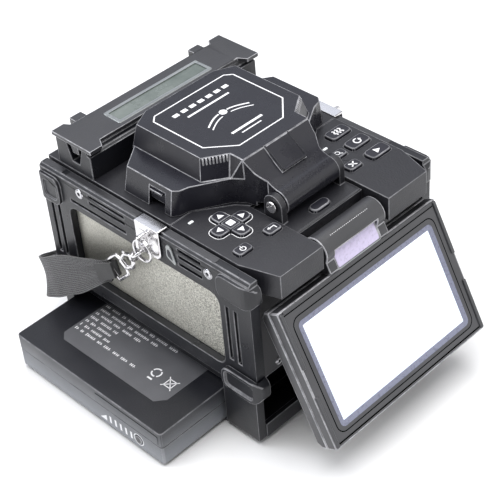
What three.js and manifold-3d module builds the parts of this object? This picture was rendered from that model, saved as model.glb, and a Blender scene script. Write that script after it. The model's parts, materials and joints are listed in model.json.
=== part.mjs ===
// Fiber fusion splicer, in millimetres with +Z up.
// The origin is on the floor under the middle of the carrying cage. +X is to the right of a person who
// faces the display, +Y goes to the back, where the heater is. The battery slides out towards -X.
import * as THREE from 'three';
import { mergeVertices } from 'three/addons/utils/BufferGeometryUtils.js';
import Module from 'manifold-3d';

const wasm = await Module();
wasm.setup();

// ---------------------------------------------------------------- driving dimensions
const GAP = 0.3; // between pieces that touch
const CAGE = { inner: 62.3, outer: 68.5, front: -82.5, back: 77, top: 114.6, foot: 3.8 };
const CORE = 61.7; // half width of everything between the two side frames
const DECK_Z = 116.3; // keypads and main deck
const MIDDLE_DECK_Z = 114; // lower middle deck, in front of the cover's hinge
const DECK_THICK = 3;
const RAIL = { bottom: 39, top: 48 }; // the cage's lower rail
const WINDOW = { front: -60, back: 56, bottom: RAIL.top, top: 95.5, round: 6 };
const BATTERY = { out: -111, in: -27, front: -52, back: 67, bottom: 2.4, seam: 14.5, top: 24.5, wall: 1.6 };
const BAY = { end: 17, wall: 2.5, play: 0.8, floor: 2.1, roof: 25.6 };
const PAN = { bottom: 1.2, edge: 3.5, half: 66, front: -79.5, back: 74.2, railTop: 12.3, wallTop: 34.5 };
const PANEL_Y = -71.5; // outside of the front panel
const NOTCH = { half: 24.4, back: -73.3 }; // between the keypad decks, for the display's neck
const NOSE = { front: -91, bottom: 101.9 };
const COVER = { y: -56.2, z: 123.1, barrel: 7, barrelHalf: 19.3, floor: 116.6, waist: 131.6, top: 143.3 };
const PIN_R = 2;
const RUNNING = 0.1; // radial clearance of a pin in its hole
const SPLICE = { y: -6, z: 119, wellHalf: 38, wellReach: 19 };
const HEATER = { half: 61.7, front: 38.5, back: 66.5, top: 133.2, lid: 135.8, trough: 122 };
const DISPLAY = { y: -83, z: 106.8, tilt: 27, half: 60, face: -3.2, back: 10.8, top: -13.4, bottom: -93.1 };
const SCREEN = { half: 50.5, top: -24.4, bottom: -84.2 };
const KEY = { bottom: 114, top: 117.8, play: 0.35 };

// ---------------------------------------------------------------- looks
const LOOK = {
  black: { color: 0x1b1b1e, roughness: 0.5, metalness: 0.1 },
  cover: { color: 0x232326, roughness: 0.42, metalness: 0.1 },
  grey: { color: 0x55565c, roughness: 0.45, metalness: 0.2 },
  rubber: { color: 0x111112, roughness: 0.85, metalness: 0 },
  sand: { color: 0x9b9680, roughness: 0.5, metalness: 0.8 },
  chrome: { color: 0xd8d8dc, roughness: 0.15, metalness: 1 },
  steel: { color: 0x9a9ca0, roughness: 0.35, metalness: 0.9 },
  key: { color: 0x26262b, roughness: 0.6, metalness: 0 },
  glass: { color: 0xdfe8f2, roughness: 0.05, metalness: 0 },
  board: { color: 0x1d5a34, roughness: 0.6, metalness: 0 },
  ceramic: { color: 0xd9d6cc, roughness: 0.6, metalness: 0 },
  brass: { color: 0xb59a4a, roughness: 0.3, metalness: 1 },
  webbing: { color: 0x2a2b2e, roughness: 0.9, metalness: 0 },
  cell: { color: 0x2f6ea5, roughness: 0.4, metalness: 0 },
};

// ---------------------------------------------------------------- shape helpers
// A closed three.js geometry as a solid that can be joined and cut.
function solid(geometry) {
  const bare = geometry.clone();
  for (const name of Object.keys(bare.attributes)) {
    if (name !== 'position') bare.deleteAttribute(name);
  }
  const merged = mergeVertices(bare, 1e-4);
  const corners = merged.index.array;
  const triangles = [];
  for (let i = 0; i < corners.length; i += 3) {
    const [a, b, c] = [corners[i], corners[i + 1], corners[i + 2]];
    if (a !== b && b !== c && c !== a) triangles.push(a, b, c);
  }
  return new wasm.Manifold(new wasm.Mesh({
    numProp: 3,
    vertProperties: Float32Array.from(merged.attributes.position.array),
    triVerts: Uint32Array.from(triangles),
  }));
}

function sorted(pair) {
  return [Math.min(...pair), Math.max(...pair)];
}

// A block from three pairs of limits.
function box(xs, ys, zs) {
  const [low, high] = [0, 1].map((i) => new THREE.Vector3(sorted(xs)[i], sorted(ys)[i], sorted(zs)[i]));
  const size = high.clone().sub(low);
  const middle = high.clone().add(low).multiplyScalar(0.5);
  return solid(new THREE.BoxGeometry(size.x, size.y, size.z).translate(middle.x, middle.y, middle.z));
}

// How a flat outline's own x, y and depth lie in space for each direction it can be extruded along.
// Points are [y, z] along x, [x, z] along y, and [x, y] along z.
const EXTRUDE = {
  x: [new THREE.Vector3(0, 1, 0), new THREE.Vector3(0, 0, 1), new THREE.Vector3(1, 0, 0)],
  y: [new THREE.Vector3(1, 0, 0), new THREE.Vector3(0, 0, 1), new THREE.Vector3(0, -1, 0)],
  z: [new THREE.Vector3(1, 0, 0), new THREE.Vector3(0, 1, 0), new THREE.Vector3(0, 0, 1)],
};

// A flat outline extruded along one axis between two places.
function prism(axis, points, ends) {
  const [low, high] = sorted(ends);
  const shape = new THREE.Shape(points.map(([a, b]) => new THREE.Vector2(a, b)));
  const geometry = new THREE.ExtrudeGeometry(shape, { depth: high - low, bevelEnabled: false });
  const turn = new THREE.Matrix4().makeBasis(...EXTRUDE[axis]);
  const start = EXTRUDE[axis][2].clone().multiplyScalar(axis === 'y' ? -high : low);
  return solid(geometry.applyMatrix4(turn.setPosition(start)));
}

// Points of an arc, in degrees, from one angle to another.
function arc([a, b], radius, from, to, steps = 4) {
  const points = [];
  for (let i = 0; i <= steps; i += 1) {
    const angle = THREE.MathUtils.degToRad(from + ((to - from) * i) / steps);
    points.push([a + radius * Math.cos(angle), b + radius * Math.sin(angle)]);
  }
  return points;
}

function roundedRect(as, bs, radius, steps = 3) {
  const [a0, a1] = sorted(as);
  const [b0, b1] = sorted(bs);
  return [
    ...arc([a1 - radius, b0 + radius], radius, -90, 0, steps),
    ...arc([a1 - radius, b1 - radius], radius, 0, 90, steps),
    ...arc([a0 + radius, b1 - radius], radius, 90, 180, steps),
    ...arc([a0 + radius, b0 + radius], radius, 180, 270, steps),
  ];
}

// A round bar along one axis, about a centre given in the two other coordinates.
function rod(axis, centre, radius, ends, sides = 20) {
  return prism(axis, arc(centre, radius, 0, 360 * (1 - 1 / sides), sides - 1), ends);
}

// A round bar between any two points, with its own radius at each end.
function bar(from, to, radius, endRadius = radius, sides = 16) {
  const [start, end] = [new THREE.Vector3(...from), new THREE.Vector3(...to)];
  const along = end.clone().sub(start);
  const geometry = new THREE.CylinderGeometry(endRadius, radius, along.length(), sides);
  const up = new THREE.Vector3(0, 1, 0);
  geometry.applyQuaternion(new THREE.Quaternion().setFromUnitVectors(up, along.clone().normalize()));
  const middle = start.add(end).multiplyScalar(0.5);
  return solid(geometry.translate(middle.x, middle.y, middle.z));
}

// A skin over rings of points, each with as many points as the last, closed at both ends.
function skin(rings) {
  const count = rings[0].length;
  const faces = [];
  for (let r = 0; r + 1 < rings.length; r += 1) {
    for (let i = 0; i < count; i += 1) {
      const j = (i + 1) % count;
      faces.push(r * count + i, r * count + j, (r + 1) * count + j);
      faces.push(r * count + i, (r + 1) * count + j, (r + 1) * count + i);
    }
  }
  const last = (rings.length - 1) * count;
  for (const [a, b, c] of capTriangles(rings[0])) faces.push(a, c, b);
  for (const [a, b, c] of capTriangles(rings.at(-1))) faces.push(last + a, last + b, last + c);
  const geometry = new THREE.BufferGeometry();
  geometry.setAttribute('position', new THREE.Float32BufferAttribute(rings.flat(2), 3));
  geometry.setIndex(faces);
  return solid(geometry);
}

// Triangles across one ring, which runs anticlockwise in its own plane.
function capTriangles(ring) {
  const points = ring.map((p) => new THREE.Vector3(...p));
  const normal = new THREE.Vector3();
  points.forEach((p, i) => normal.add(p.clone().cross(points[(i + 1) % points.length])));
  normal.normalize();
  const side = points[1].clone().sub(points[0]).normalize();
  const up = normal.clone().cross(side);
  return THREE.ShapeUtils.triangulateShape(points.map((p) => new THREE.Vector2(p.dot(side), p.dot(up))), []);
}

// A block whose outline changes from a low one to a high one; both run anticlockwise.
function loft(low, high, [bottom, top]) {
  return skin([low.map(([x, y]) => [x, y, bottom]), high.map(([x, y]) => [x, y, top])]);
}

// The right half of an outline, from back to front, made into a whole one, anticlockwise.
function bothSides(half) {
  const left = half.map(([x, y]) => [-x, y]);
  return [...left, ...half.slice().reverse()];
}

// ---------------------------------------------------------------- scene graph
const splicer = new THREE.Group();
const display = new THREE.Group();
display.position.set(0, DISPLAY.y, DISPLAY.z);
display.rotation.x = THREE.MathUtils.degToRad(-DISPLAY.tilt);
splicer.add(display);
const hanging = new THREE.Group();
splicer.add(hanging);

function add(name, shape, look, parent = splicer) {
  const mesh = shape.getMesh();
  const geometry = new THREE.BufferGeometry();
  geometry.setAttribute('position', new THREE.BufferAttribute(Float32Array.from(mesh.vertProperties), 3));
  geometry.setIndex(new THREE.BufferAttribute(Uint32Array.from(mesh.triVerts), 1));
  geometry.computeVertexNormals();
  const node = new THREE.Mesh(geometry, new THREE.MeshStandardMaterial(look));
  node.name = name;
  parent.add(node);
}

const SIDES = [['left', -1], ['right', 1]];

// ---------------------------------------------------------------- carrying cage
const SLOT_DEPTH = 2;
const POST_GROOVES = { front: [-65.3, -71.3], back: [65.5, 71.3] };
const RAIL_SLOTS = [
  { ys: [8, 37], z: 110.6 },
  { ys: [8, 37], z: 106.4 },
  { ys: [8, 53], z: 100.8 },
  { ys: [-49, -32], z: 110.6 },
  { ys: [-49, -32], z: 106.4 },
  { ys: [-49, -32], z: 101.6 },
];
const FRONT_LEG = [-79.5, -55];
const BACK_LEG = [69.5, 77];
const LEG_OUT = 67.5;
const CAP_OUT = 70.6;
const CAP_ROUND = 4.5;

function sideFrame(side) {
  const xs = [side * CAGE.inner, side * CAGE.outer];
  const top = CAGE.top;
  const edge = 1.6; // bevel along the top rail
  const outline = [[CAGE.inner, RAIL.bottom], [CAGE.outer, RAIL.bottom], [CAGE.outer, top - edge],
    [CAGE.outer - edge, top], [CAGE.inner, top]].map(([x, z]) => [side * x, z]);
  let frame = prism('y', outline, [CAGE.front, CAGE.back]);
  frame = frame.subtract(prism('x', roundedRect([WINDOW.front, WINDOW.back],
    [WINDOW.bottom, WINDOW.top], WINDOW.round), [side * 60, side * 72]));
  for (const leg of [FRONT_LEG, BACK_LEG]) {
    frame = frame.add(box([side * CAGE.inner, side * LEG_OUT], leg, [CAGE.foot, RAIL.bottom + 1]));
  }
  const frontCap = [[60.5, -61], [CAP_OUT, -61], ...arc([CAP_OUT - 7, -78], 7, 0, -90), [60.5, -85]];
  const backCap = [[60.5, 60.5], [CAP_OUT, 60.5], ...arc([CAP_OUT - 5, 74], 5, 0, 90), [60.5, 79]];
  frame = frame.add(cap(side, frontCap, [-85, -61], [98.6, 112.4]));
  frame = frame.add(cap(side, backCap, [60.5, 79], [93, 110.4]));
  frame = frame.subtract(prism('x', roundedRect([62.8, 73.5], [96, 107.2], 2.5),
    [side * (CAP_OUT - 1), side * 80]));
  const face = [side * (CAGE.outer - SLOT_DEPTH), side * (CAGE.outer + 1)];
  for (const y of [...POST_GROOVES.front, ...POST_GROOVES.back]) {
    frame = frame.subtract(box(face, [y - 1.2, y + 1.2], [56, 91.5]));
  }
  for (const slot of RAIL_SLOTS) {
    frame = frame.subtract(box(face, slot.ys, [slot.z - 0.9, slot.z + 0.9]));
  }
  return frame;
}

// A corner cap moulded on the frame, kept to the outside of it, with rounded corners seen from the side.
function cap(side, plan, ys, zs) {
  const outside = prism('x', roundedRect(ys, zs, CAP_ROUND, 4), [side * CAGE.inner, side * 80]);
  return prism('z', plan.map(([x, y]) => [side * x, y]), zs).intersect(outside);
}

const BUMPER = { bottom: 36.4, top: 50.8, out: 72, thick: 3.2, length: 23, round: 5 };

// A lower corner bumper that wraps round the outside of a post.
function bumper(side, end) {
  const corner = end < 0 ? -CAGE.front : CAGE.back; // measured outwards from the middle
  const inside = corner + GAP;
  const outside = inside + BUMPER.thick;
  const start = corner - BUMPER.length;
  const r = 6;
  const plan = [[CAGE.outer + GAP, start], [BUMPER.out, start],
    ...arc([BUMPER.out - r, outside - r], r, 0, 90), [CAGE.inner, outside], [CAGE.inner, inside],
    [CAGE.outer + GAP, inside]];
  const zs = [BUMPER.bottom, BUMPER.top];
  const block = prism('z', plan.map(([x, y]) => [side * x, end * y]), zs);
  const ys = [end * start, end * outside];
  const seenFromSide = prism('x', roundedRect(ys, zs, BUMPER.round, 4), [side * 50, side * 80]);
  const rim = 2.2;
  const pocket = prism('x', roundedRect([end * (start + rim), end * (outside - rim - 2)],
    zs.map((z, i) => z + (i ? -rim : rim)), BUMPER.round - rim), [side * (BUMPER.out - 1.4), side * 80]);
  return block.intersect(seenFromSide).subtract(pocket);
}

const SIDE_PANEL = [CAGE.inner + GAP, CAGE.inner + 1.8];

for (const [word, side] of SIDES) {
  add(`${word}_frame`, sideFrame(side), LOOK.black);
  add(`${word}_side_panel`, prism('x', roundedRect([WINDOW.front + GAP, WINDOW.back - GAP],
    [WINDOW.bottom + GAP, WINDOW.top - GAP], WINDOW.round), SIDE_PANEL.map((x) => side * x)), LOOK.sand);
  add(`${word}_front_bumper`, bumper(side, -1), LOOK.rubber);
  add(`${word}_back_bumper`, bumper(side, 1), LOOK.rubber);
}

// ---------------------------------------------------------------- base, panels and boards
function basePan() {
  const front = BATTERY.front - BAY.play;
  const back = BATTERY.back + BAY.play;
  const wallFront = front - BAY.wall;
  const wallBack = back + BAY.wall;
  const end = BAY.end + BAY.wall;
  const roof = [BAY.roof, BAY.roof + BAY.wall];
  const sideWall = [CORE - 2, CORE];
  let pan = box([-PAN.half, PAN.half], [PAN.front + 2, PAN.back], [PAN.bottom, PAN.edge]);
  pan = pan.subtract(box([-80, BAY.end], [front, back], [BAY.floor, 30]));
  pan = pan.add(box([-CORE, CORE], [PAN.front, PAN.front + 3], [PAN.edge - 0.5, PAN.railTop]));
  pan = pan.add(box([-CORE, CORE], [PAN.back - 2, PAN.back], [PAN.edge - 0.5, PAN.railTop]));
  pan = pan.add(box([-CORE, CORE], [wallFront, front], [PAN.edge - 0.5, PAN.wallTop]));
  pan = pan.add(box([-CORE, end], [back, wallBack], [PAN.edge - 0.5, roof[1]]));
  pan = pan.add(box([BAY.end, end], [wallFront, wallBack], [PAN.edge - 0.5, roof[1]]));
  pan = pan.add(box([-CORE, end], [wallFront, wallBack], roof));
  pan = pan.add(box(sideWall.map((x) => -x), [wallFront, wallBack], [roof[0], RAIL.bottom - 0.5]));
  return pan.add(box(sideWall, [wallFront, PAN.back], [PAN.edge - 0.5, RAIL.bottom - 0.5]));
}

function frontPanel() {
  const shelf = box([-CORE, CORE], [PANEL_Y, -56], [PAN.wallTop + GAP, PAN.wallTop + 2.1]);
  const sheet = box([-CORE, CORE], [PANEL_Y, PANEL_Y + 1.8], [PAN.wallTop + GAP, NOSE.bottom - 1]);
  return sheet.add(shelf);
}

function backPanel() {
  let panel = box([-CORE, CORE], [PAN.back + 0.6, PAN.back + 2.4], [PAN.edge + 1, DECK_Z - DECK_THICK - GAP]);
  for (let z = 60; z <= 84; z += 6) {
    for (const x of [-26, 26]) {
      panel = panel.subtract(prism('y', roundedRect([x - 17, x + 17], [z, z + 2.6], 1.2), [70, 80]));
    }
  }
  return panel;
}

// A circuit board with the big parts that stand on it.
function board(xs, ys, z, tall) {
  let pcb = box(xs, ys, [z, z + 1.6]);
  for (const [px, py, w, d, h] of tall) pcb = pcb.add(box([px, px + w], [py, py + d], [z + 1, z + h]));
  return pcb;
}

add('base_pan', basePan(), LOOK.black);
add('foot_pad', prism('z', roundedRect([-55, 55], [-70, 68], 5), [0, PAN.bottom - GAP]), LOOK.rubber);
add('front_panel', frontPanel(), LOOK.grey);
add('back_panel', backPanel(), LOOK.black);
add('main_board', board([-56, 12], [-46, 62], 32, [[-40, -20, 22, 22, 4], [-50, 20, 12, 30, 6],
  [-10, 15, 14, 14, 4], [-12, -40, 18, 8, 10]]), LOOK.board);
add('arc_board', board([22, 56], [-40, 50], 42, [[27, -30, 24, 26, 22], [29, 10, 10, 10, 18],
  [42, 10, 9, 9, 15]]), LOOK.board);

// ---------------------------------------------------------------- decks
// The keypad deck's inner edge follows the foot of the cover, then the notch for the neck.
const KEYPAD_INNER = [[47, -21], [29, -34.5], [24.7, -41]];
const LUG = { xs: [19.7, 23.5], radius: 6.2 };

function mainDeck() {
  const z = DECK_Z - DECK_THICK;
  const half = [[CORE, CAGE.back - GAP], [CORE, -20.7], [46.9, -20.7], [28.8, -34.2], [NOTCH.half, -40.7]];
  let deck = prism('z', bothSides(half), [z, DECK_Z]);
  const across = [-NOTCH.half, NOTCH.half];
  deck = deck.add(box(across, [NOTCH.back, -35], [MIDDLE_DECK_Z - DECK_THICK, MIDDLE_DECK_Z]));
  deck = deck.add(box(across, [NOTCH.back, NOTCH.back + 1.6], [NOSE.bottom, MIDDLE_DECK_Z]));
  deck = deck.subtract(box([-SPLICE.wellHalf, SPLICE.wellHalf],
    [SPLICE.y - SPLICE.wellReach + 3, SPLICE.y + SPLICE.wellReach], [100, 130]));
  deck = deck.subtract(prism('z', roundedRect([-6.6, 6.6], [-69.4, -62.6], 3.2), [100, 130]));
  for (const side of [-1, 1]) {
    const xs = LUG.xs.map((x) => side * x);
    const foot = [COVER.y - LUG.radius, COVER.y + LUG.radius];
    deck = deck.add(rod('x', [COVER.y, COVER.z], LUG.radius, xs));
    deck = deck.add(box(xs, foot, [MIDDLE_DECK_Z - 1, COVER.z]));
  }
  return deck.subtract(rod('x', [COVER.y, COVER.z], PIN_R + RUNNING, [-30, 30]));
}

const ARROW = { near: 4.3, far: 11.8, half: 3.9, round: 2.8 };

// An arrow key of the cross, square towards the middle key and rounded outside; turned in quarters.
function arrowKey([cx, cy], quarter) {
  const { near, far, half, round } = ARROW;
  const outline = [[near, -half], ...arc([far - round, round - half], round, -90, 0, 3),
    ...arc([far - round, half - round], round, 0, 90, 3), [near, half]];
  const turn = (quarter * Math.PI) / 2;
  return outline.map(([a, b]) => [cx + a * Math.cos(turn) - b * Math.sin(turn),
    cy + a * Math.sin(turn) + b * Math.cos(turn)]);
}

function plainKey([cx, cy], width, depth, round) {
  return roundedRect([cx - width / 2, cx + width / 2], [cy - depth / 2, cy + depth / 2], round);
}

const CROSS = [-41.8, -44.2];
const KEYS = {
  key_right: { deck: 'left', outline: arrowKey(CROSS, 0) },
  key_up: { deck: 'left', outline: arrowKey(CROSS, 1) },
  key_left: { deck: 'left', outline: arrowKey(CROSS, 2) },
  key_down: { deck: 'left', outline: arrowKey(CROSS, 3) },
  key_centre: { deck: 'left', outline: plainKey(CROSS, 7.4, 7.4, 0.8) },
  key_back: { deck: 'left', outline: plainKey([-31.6, -63.1], 9, 6, 1.8) },
  key_power: { deck: 'left', outline: plainKey([-52.4, -63.2], 9.4, 6.2, 1.8) },
  key_heat: { deck: 'right', outline: plainKey([51.4, -32.5], 14.5, 8, 2.4) },
  key_reset: { deck: 'right', outline: plainKey([51.5, -46.4], 14.5, 8, 2.4) },
  key_set: { deck: 'right', outline: plainKey([51.9, -60.1], 14.5, 8, 2.4) },
  key_cross: { deck: 'right', outline: plainKey([34.1, -58.6], 9.4, 6.4, 2) },
  key_zoom: { deck: 'right', outline: plainKey([36.6, -46.3], 9, 5.6, 1.8) },
};

// An outline grown by the play that a key has in its hole.
function grown(outline, play) {
  const middle = outline.reduce(([a, b], [x, y]) => [a + x / outline.length, b + y / outline.length], [0, 0]);
  return outline.map(([x, y]) => {
    const far = Math.hypot(x - middle[0], y - middle[1]);
    const k = 1 + (play * 1.4) / far;
    return [middle[0] + (x - middle[0]) * k, middle[1] + (y - middle[1]) * k];
  });
}

function keypadDeck(word, side) {
  const z = DECK_Z - DECK_THICK;
  const front = [[24.7, NOSE.front], [55, NOSE.front], [CORE, -69]];
  const plan = [...KEYPAD_INNER, ...front, [CORE, -21]].map(([x, y]) => [side * x, y]);
  const nose = [...front, [CORE, -66], [24.7, -66]].map(([x, y]) => [side * x, y]);
  let deck = prism('z', plan, [z, DECK_Z]).add(prism('z', nose, [NOSE.bottom, DECK_Z - 1]));
  deck = deck.subtract(rod('x', [DISPLAY.y, DISPLAY.z], 3 + RUNNING, [side * 20, side * 28.6]));
  for (const key of Object.values(KEYS).filter((k) => k.deck === word)) {
    deck = deck.subtract(prism('z', grown(key.outline, KEY.play), [z - 1, DECK_Z + 1]));
  }
  if (word === 'left') deck = deck.subtract(prism('z', plainKey(CROSS, 9.6, 9.6, 0.5), [z - 1, DECK_Z + 1]));
  return deck;
}

add('main_deck', mainDeck(), LOOK.black);
for (const [word, side] of SIDES) add(`${word}_keypad_deck`, keypadDeck(word, side), LOOK.black);
for (const [name, key] of Object.entries(KEYS)) {
  add(name, prism('z', key.outline, [KEY.bottom, KEY.top]), LOOK.key);
}
add('deck_button', prism('z', roundedRect([-6.2, 6.2], [-69, -63], 2.8), [111.4, 115.6]), LOOK.key);

// ---------------------------------------------------------------- splice stage
const STAGE = { low: 104, top: 111 };
const LENS = { radius: 2.8, near: 8, far: 25, bar: [94, 99] };

// A point at some distance down one of the two slanted lines of sight to the splice.
function sightPoint(side, distance) {
  const leg = distance * Math.SQRT1_2;
  return [0, SPLICE.y + side * leg, SPLICE.z - leg];
}

function spliceBase() {
  const y = SPLICE.y;
  let base = box([-36.5, 36.5], [y - 15, y + 18], [STAGE.low, STAGE.top]);
  for (const side of [-1, 1]) {
    const tower = [y + side * 11, y + side * 14.6];
    base = base.add(box([-5, 5], tower, [STAGE.top - 1, 123]));
    base = base.subtract(rod('y', [0, SPLICE.z], 1.3, [y + side * 9, y + side * 20], 12));
    base = base.subtract(bar(sightPoint(side, 0), sightPoint(side, 40), LENS.radius + GAP));
  }
  return base;
}

function microscopeUnit() {
  const [low, high] = LENS.bar;
  let unit = box([-3.2, 3.2], [SPLICE.y - 24, SPLICE.y + 24], [low, high]);
  for (const side of [-1, 1]) {
    unit = unit.add(bar(sightPoint(side, LENS.near), sightPoint(side, LENS.far + 5), LENS.radius));
  }
  return unit;
}

const CARRIAGE = { inner: 9, outer: 34, clamp: [23, 33], top: 118 };

function carriage(side) {
  const y = SPLICE.y;
  let body = box([side * CARRIAGE.inner, side * CARRIAGE.outer], [y - 7, y + 8], [STAGE.top + GAP, 115]);
  body = body.add(box([side * CARRIAGE.inner, side * 15], [y - 3.5, y + 3.5], [114, SPLICE.z + 0.6]));
  body = body.add(box([side * 22, side * CARRIAGE.outer], [y - 6, y + 8], [114, CARRIAGE.top]));
  for (const ear of [[20.8, 22.6], [33.4, 35.2]]) {
    body = body.add(box(ear.map((x) => side * x), [y + 5, y + 14], [STAGE.top + GAP, 121.4]));
  }
  const groove = [[y - 1.6, SPLICE.z + 1.6], [y, SPLICE.z - 0.6], [y + 1.6, SPLICE.z + 1.6]];
  body = body.subtract(prism('x', groove, [side * 5, side * 20]));
  return body.subtract(box([side * 20, side * 40], [y - 1, y + 1], [CARRIAGE.top - 1, CARRIAGE.top + 1]));
}

const CLAMP_HINGE = { y: SPLICE.y + 11, z: 119.9, radius: 1.5 };

function sheathClamp(side) {
  const xs = CARRIAGE.clamp.map((x) => side * x);
  const lid = box(xs, [SPLICE.y - 5, CLAMP_HINGE.y], [CARRIAGE.top + GAP, 121.3]);
  return lid.add(rod('x', [CLAMP_HINGE.y, CLAMP_HINGE.z], CLAMP_HINGE.radius, xs, 12));
}

function electrode(side) {
  const at = (reach) => [0, SPLICE.y + side * reach, SPLICE.z];
  return bar(at(3.2), at(1.2), 1, 0.25, 12).add(bar(at(3), at(17), 1, 1, 12));
}

add('splice_base', spliceBase(), LOOK.steel);
add('microscope_unit', microscopeUnit(), LOOK.brass);
for (const [word, side] of SIDES) {
  add(`${word}_carriage`, carriage(side), LOOK.steel);
  add(`${word}_sheath_clamp`, sheathClamp(side), LOOK.black);
}
add('front_electrode', electrode(-1), LOOK.chrome);
add('back_electrode', electrode(1), LOOK.chrome);

// ---------------------------------------------------------------- windshield cover
// Half outlines in plan, from the back to the front.
const SKIRT = [[25, 33.5], [41, 28.5], [57, 19], [57, -16.5], [53.5, -19.5], [48, -20.5], [29, -32],
  [24, -38], [22.5, -44]];
const WAIST = [[25, 33.6], [39, 28.6], [54.5, 17.5], [54.5, -16.5], [52, -19.5], [46.5, -21], [28.5, -32],
  [24, -38], [22.5, -44]];
const TOWER_LOW = [[26, 33.8], [40.5, 29], [40.5, -23], [28.5, -31.5], [24, -38]];
const TOWER_TOP = [[25, 33.8], [36.6, 28], [36.6, -20], [24, -28.5], [24, -37.5]];
const COVER_WALL = 2.5;

// A half outline moved in by the wall all round.
function inset(half, wall) {
  return half.map(([x, y]) => [Math.max(x - wall, 1), y > 0 ? y - wall : y + wall * 1.2]);
}

// The hood's outline seen from the side: a hollow sweep from the top down to the barrel.
function hoodOutline() {
  const sweep = [];
  for (let i = 0; i <= 8; i += 1) {
    const t = i / 8;
    sweep.push([-37 - 17.5 * t, 130.4 + 12.9 * (1 - t) ** 1.4]);
  }
  const inside = -35.2;
  return [[inside, COVER.top], ...sweep, [COVER.y, COVER.z + COVER.barrel - 0.2], [COVER.y, COVER.z - 2],
    [-46, 119], [inside, 119]];
}

function windshieldCover() {
  const floor = COVER.floor;
  let cover = loft(bothSides(SKIRT), bothSides(WAIST), [floor, COVER.waist]);
  cover = cover.add(loft(bothSides(TOWER_LOW), bothSides(TOWER_TOP), [COVER.waist - 1.5, COVER.top]));
  cover = cover.subtract(loft(bothSides(inset(SKIRT, COVER_WALL)), bothSides(inset(WAIST, COVER_WALL)),
    [floor - 1, COVER.waist - COVER_WALL]));
  const [wallFoot, wallHead] = [TOWER_LOW, TOWER_TOP].map((ring) => bothSides(inset(ring, COVER_WALL)));
  cover = cover.subtract(loft(wallFoot, wallHead, [COVER.waist - 6, COVER.top - COVER_WALL]));
  const armTips = [[COVER.barrelHalf, -49.4], [COVER.barrelHalf, -70]];
  const arms = bothSides([[24, -29], [24, -38], [22.5, -44], ...armTips]);
  const sides = prism('z', arms, [100, 150]);
  cover = cover.add(prism('x', hoodOutline(), [-24, 24]).intersect(sides));
  cover = cover.add(rod('x', [COVER.y, COVER.z], COVER.barrel, [-COVER.barrelHalf, COVER.barrelHalf], 28));
  const tongue = [[-35.2, COVER.top], [-38, COVER.top - 0.3], [-50, 134.3], [-49, 130], [-35.2, 137]];
  cover = cover.add(prism('x', tongue, [-8.6, 8.6]));
  for (const side of [-1, 1]) {
    cover = cover.subtract(box([side * 50, side * 60], [-12, 0], [floor - 1, 128.2]));
  }
  return cover.subtract(rod('x', [COVER.y, COVER.z], PIN_R + RUNNING, [-30, 30]));
}

function coverPin() {
  const headOut = LUG.xs[1] + GAP + 1.4;
  const shaft = rod('x', [COVER.y, COVER.z], PIN_R, [-LUG.xs[1] - 1, LUG.xs[1] + 1]);
  const heads = [-1, 1].map((side) => rod('x', [COVER.y, COVER.z], 3.4,
    [side * (LUG.xs[1] + GAP), side * headOut], 16));
  return heads.reduce((pin, head) => pin.add(head), shaft);
}

add('windshield_cover', windshieldCover(), LOOK.cover);
add('cover_hinge_pin', coverPin(), LOOK.chrome);

// ---------------------------------------------------------------- heater
const LID_HINGE = { y: 68.9, z: 131.9, radius: 1.8 };
const HEATER_GLASS = { half: 33, front: 46, back: 57.3 };

function heaterBody() {
  const { half, front, back, top, trough } = HEATER;
  const section = [[front, DECK_Z + GAP], [back, DECK_Z + GAP], [back, top], [58, top], [54.5, trough],
    [48.5, trough], [45, top], [42, top], [41, 131], [front, 130.5]];
  return prism('x', section, [-half, half]);
}

function heaterLid() {
  const zs = [HEATER.top + GAP, HEATER.lid];
  const end = [
    [62.5, 68.3], [54, 68.3], [52, 65], [48, 65], [48, 41.8], [51, 41.8], [54, 36.5], [62.5, 36.5],
  ];
  let lid = box([-50, 50], [41.8, 65], zs);
  for (const side of [-1, 1]) {
    lid = lid.add(prism('z', end.map(([x, y]) => [side * x, y]), zs));
    lid = lid.add(box([side * 40, side * 48], [64, LID_HINGE.y], [LID_HINGE.z + 1.9, HEATER.lid - 0.4]));
    lid = lid.add(box([side * 40, side * 48], [66.9, LID_HINGE.y + LID_HINGE.radius],
      [LID_HINGE.z, HEATER.lid - 0.4]));
    lid = lid.add(rod('x', [LID_HINGE.y, LID_HINGE.z], LID_HINGE.radius, [side * 40, side * 48], 16));
  }
  return lid.subtract(box([-HEATER_GLASS.half, HEATER_GLASS.half], [HEATER_GLASS.front, HEATER_GLASS.back],
    [120, 140]));
}

function heaterClamp(side) {
  const section = [[48.8, 127.5], [53.6, 127.5], [55.6, 133.2], [49, 133.2]];
  return prism('x', section, [side * 52, side * 61]);
}

add('heater_body', heaterBody(), LOOK.black);
add('heater_plate', box([-30, 30], [49, 54], [HEATER.trough + GAP, HEATER.trough + 2.2]), LOOK.ceramic);
add('heater_lid', heaterLid(), LOOK.grey);
add('heater_window', box([-HEATER_GLASS.half + GAP, HEATER_GLASS.half - GAP],
  [HEATER_GLASS.front + GAP, HEATER_GLASS.back - GAP], [HEATER.lid - 2, HEATER.lid - 0.4]), LOOK.glass);
for (const [word, side] of SIDES) add(`${word}_heater_clamp`, heaterClamp(side), LOOK.grey);

// ---------------------------------------------------------------- display, drawn hanging straight down
function displayNeck() {
  const half = NOTCH.half - 2.2;
  let neck = rod('x', [0, 0], 8, [-half, half], 32);
  neck = neck.add(box([-half, half], [-4.6, 4.6], [DISPLAY.top + GAP, 0]));
  neck = neck.subtract(box([-half + 6.2, half - 6.2], [-10, -4], [DISPLAY.top - 1, -2.5]));
  return neck.add(rod('x', [0, 0], 3, [-28, 28], 20));
}

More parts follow.
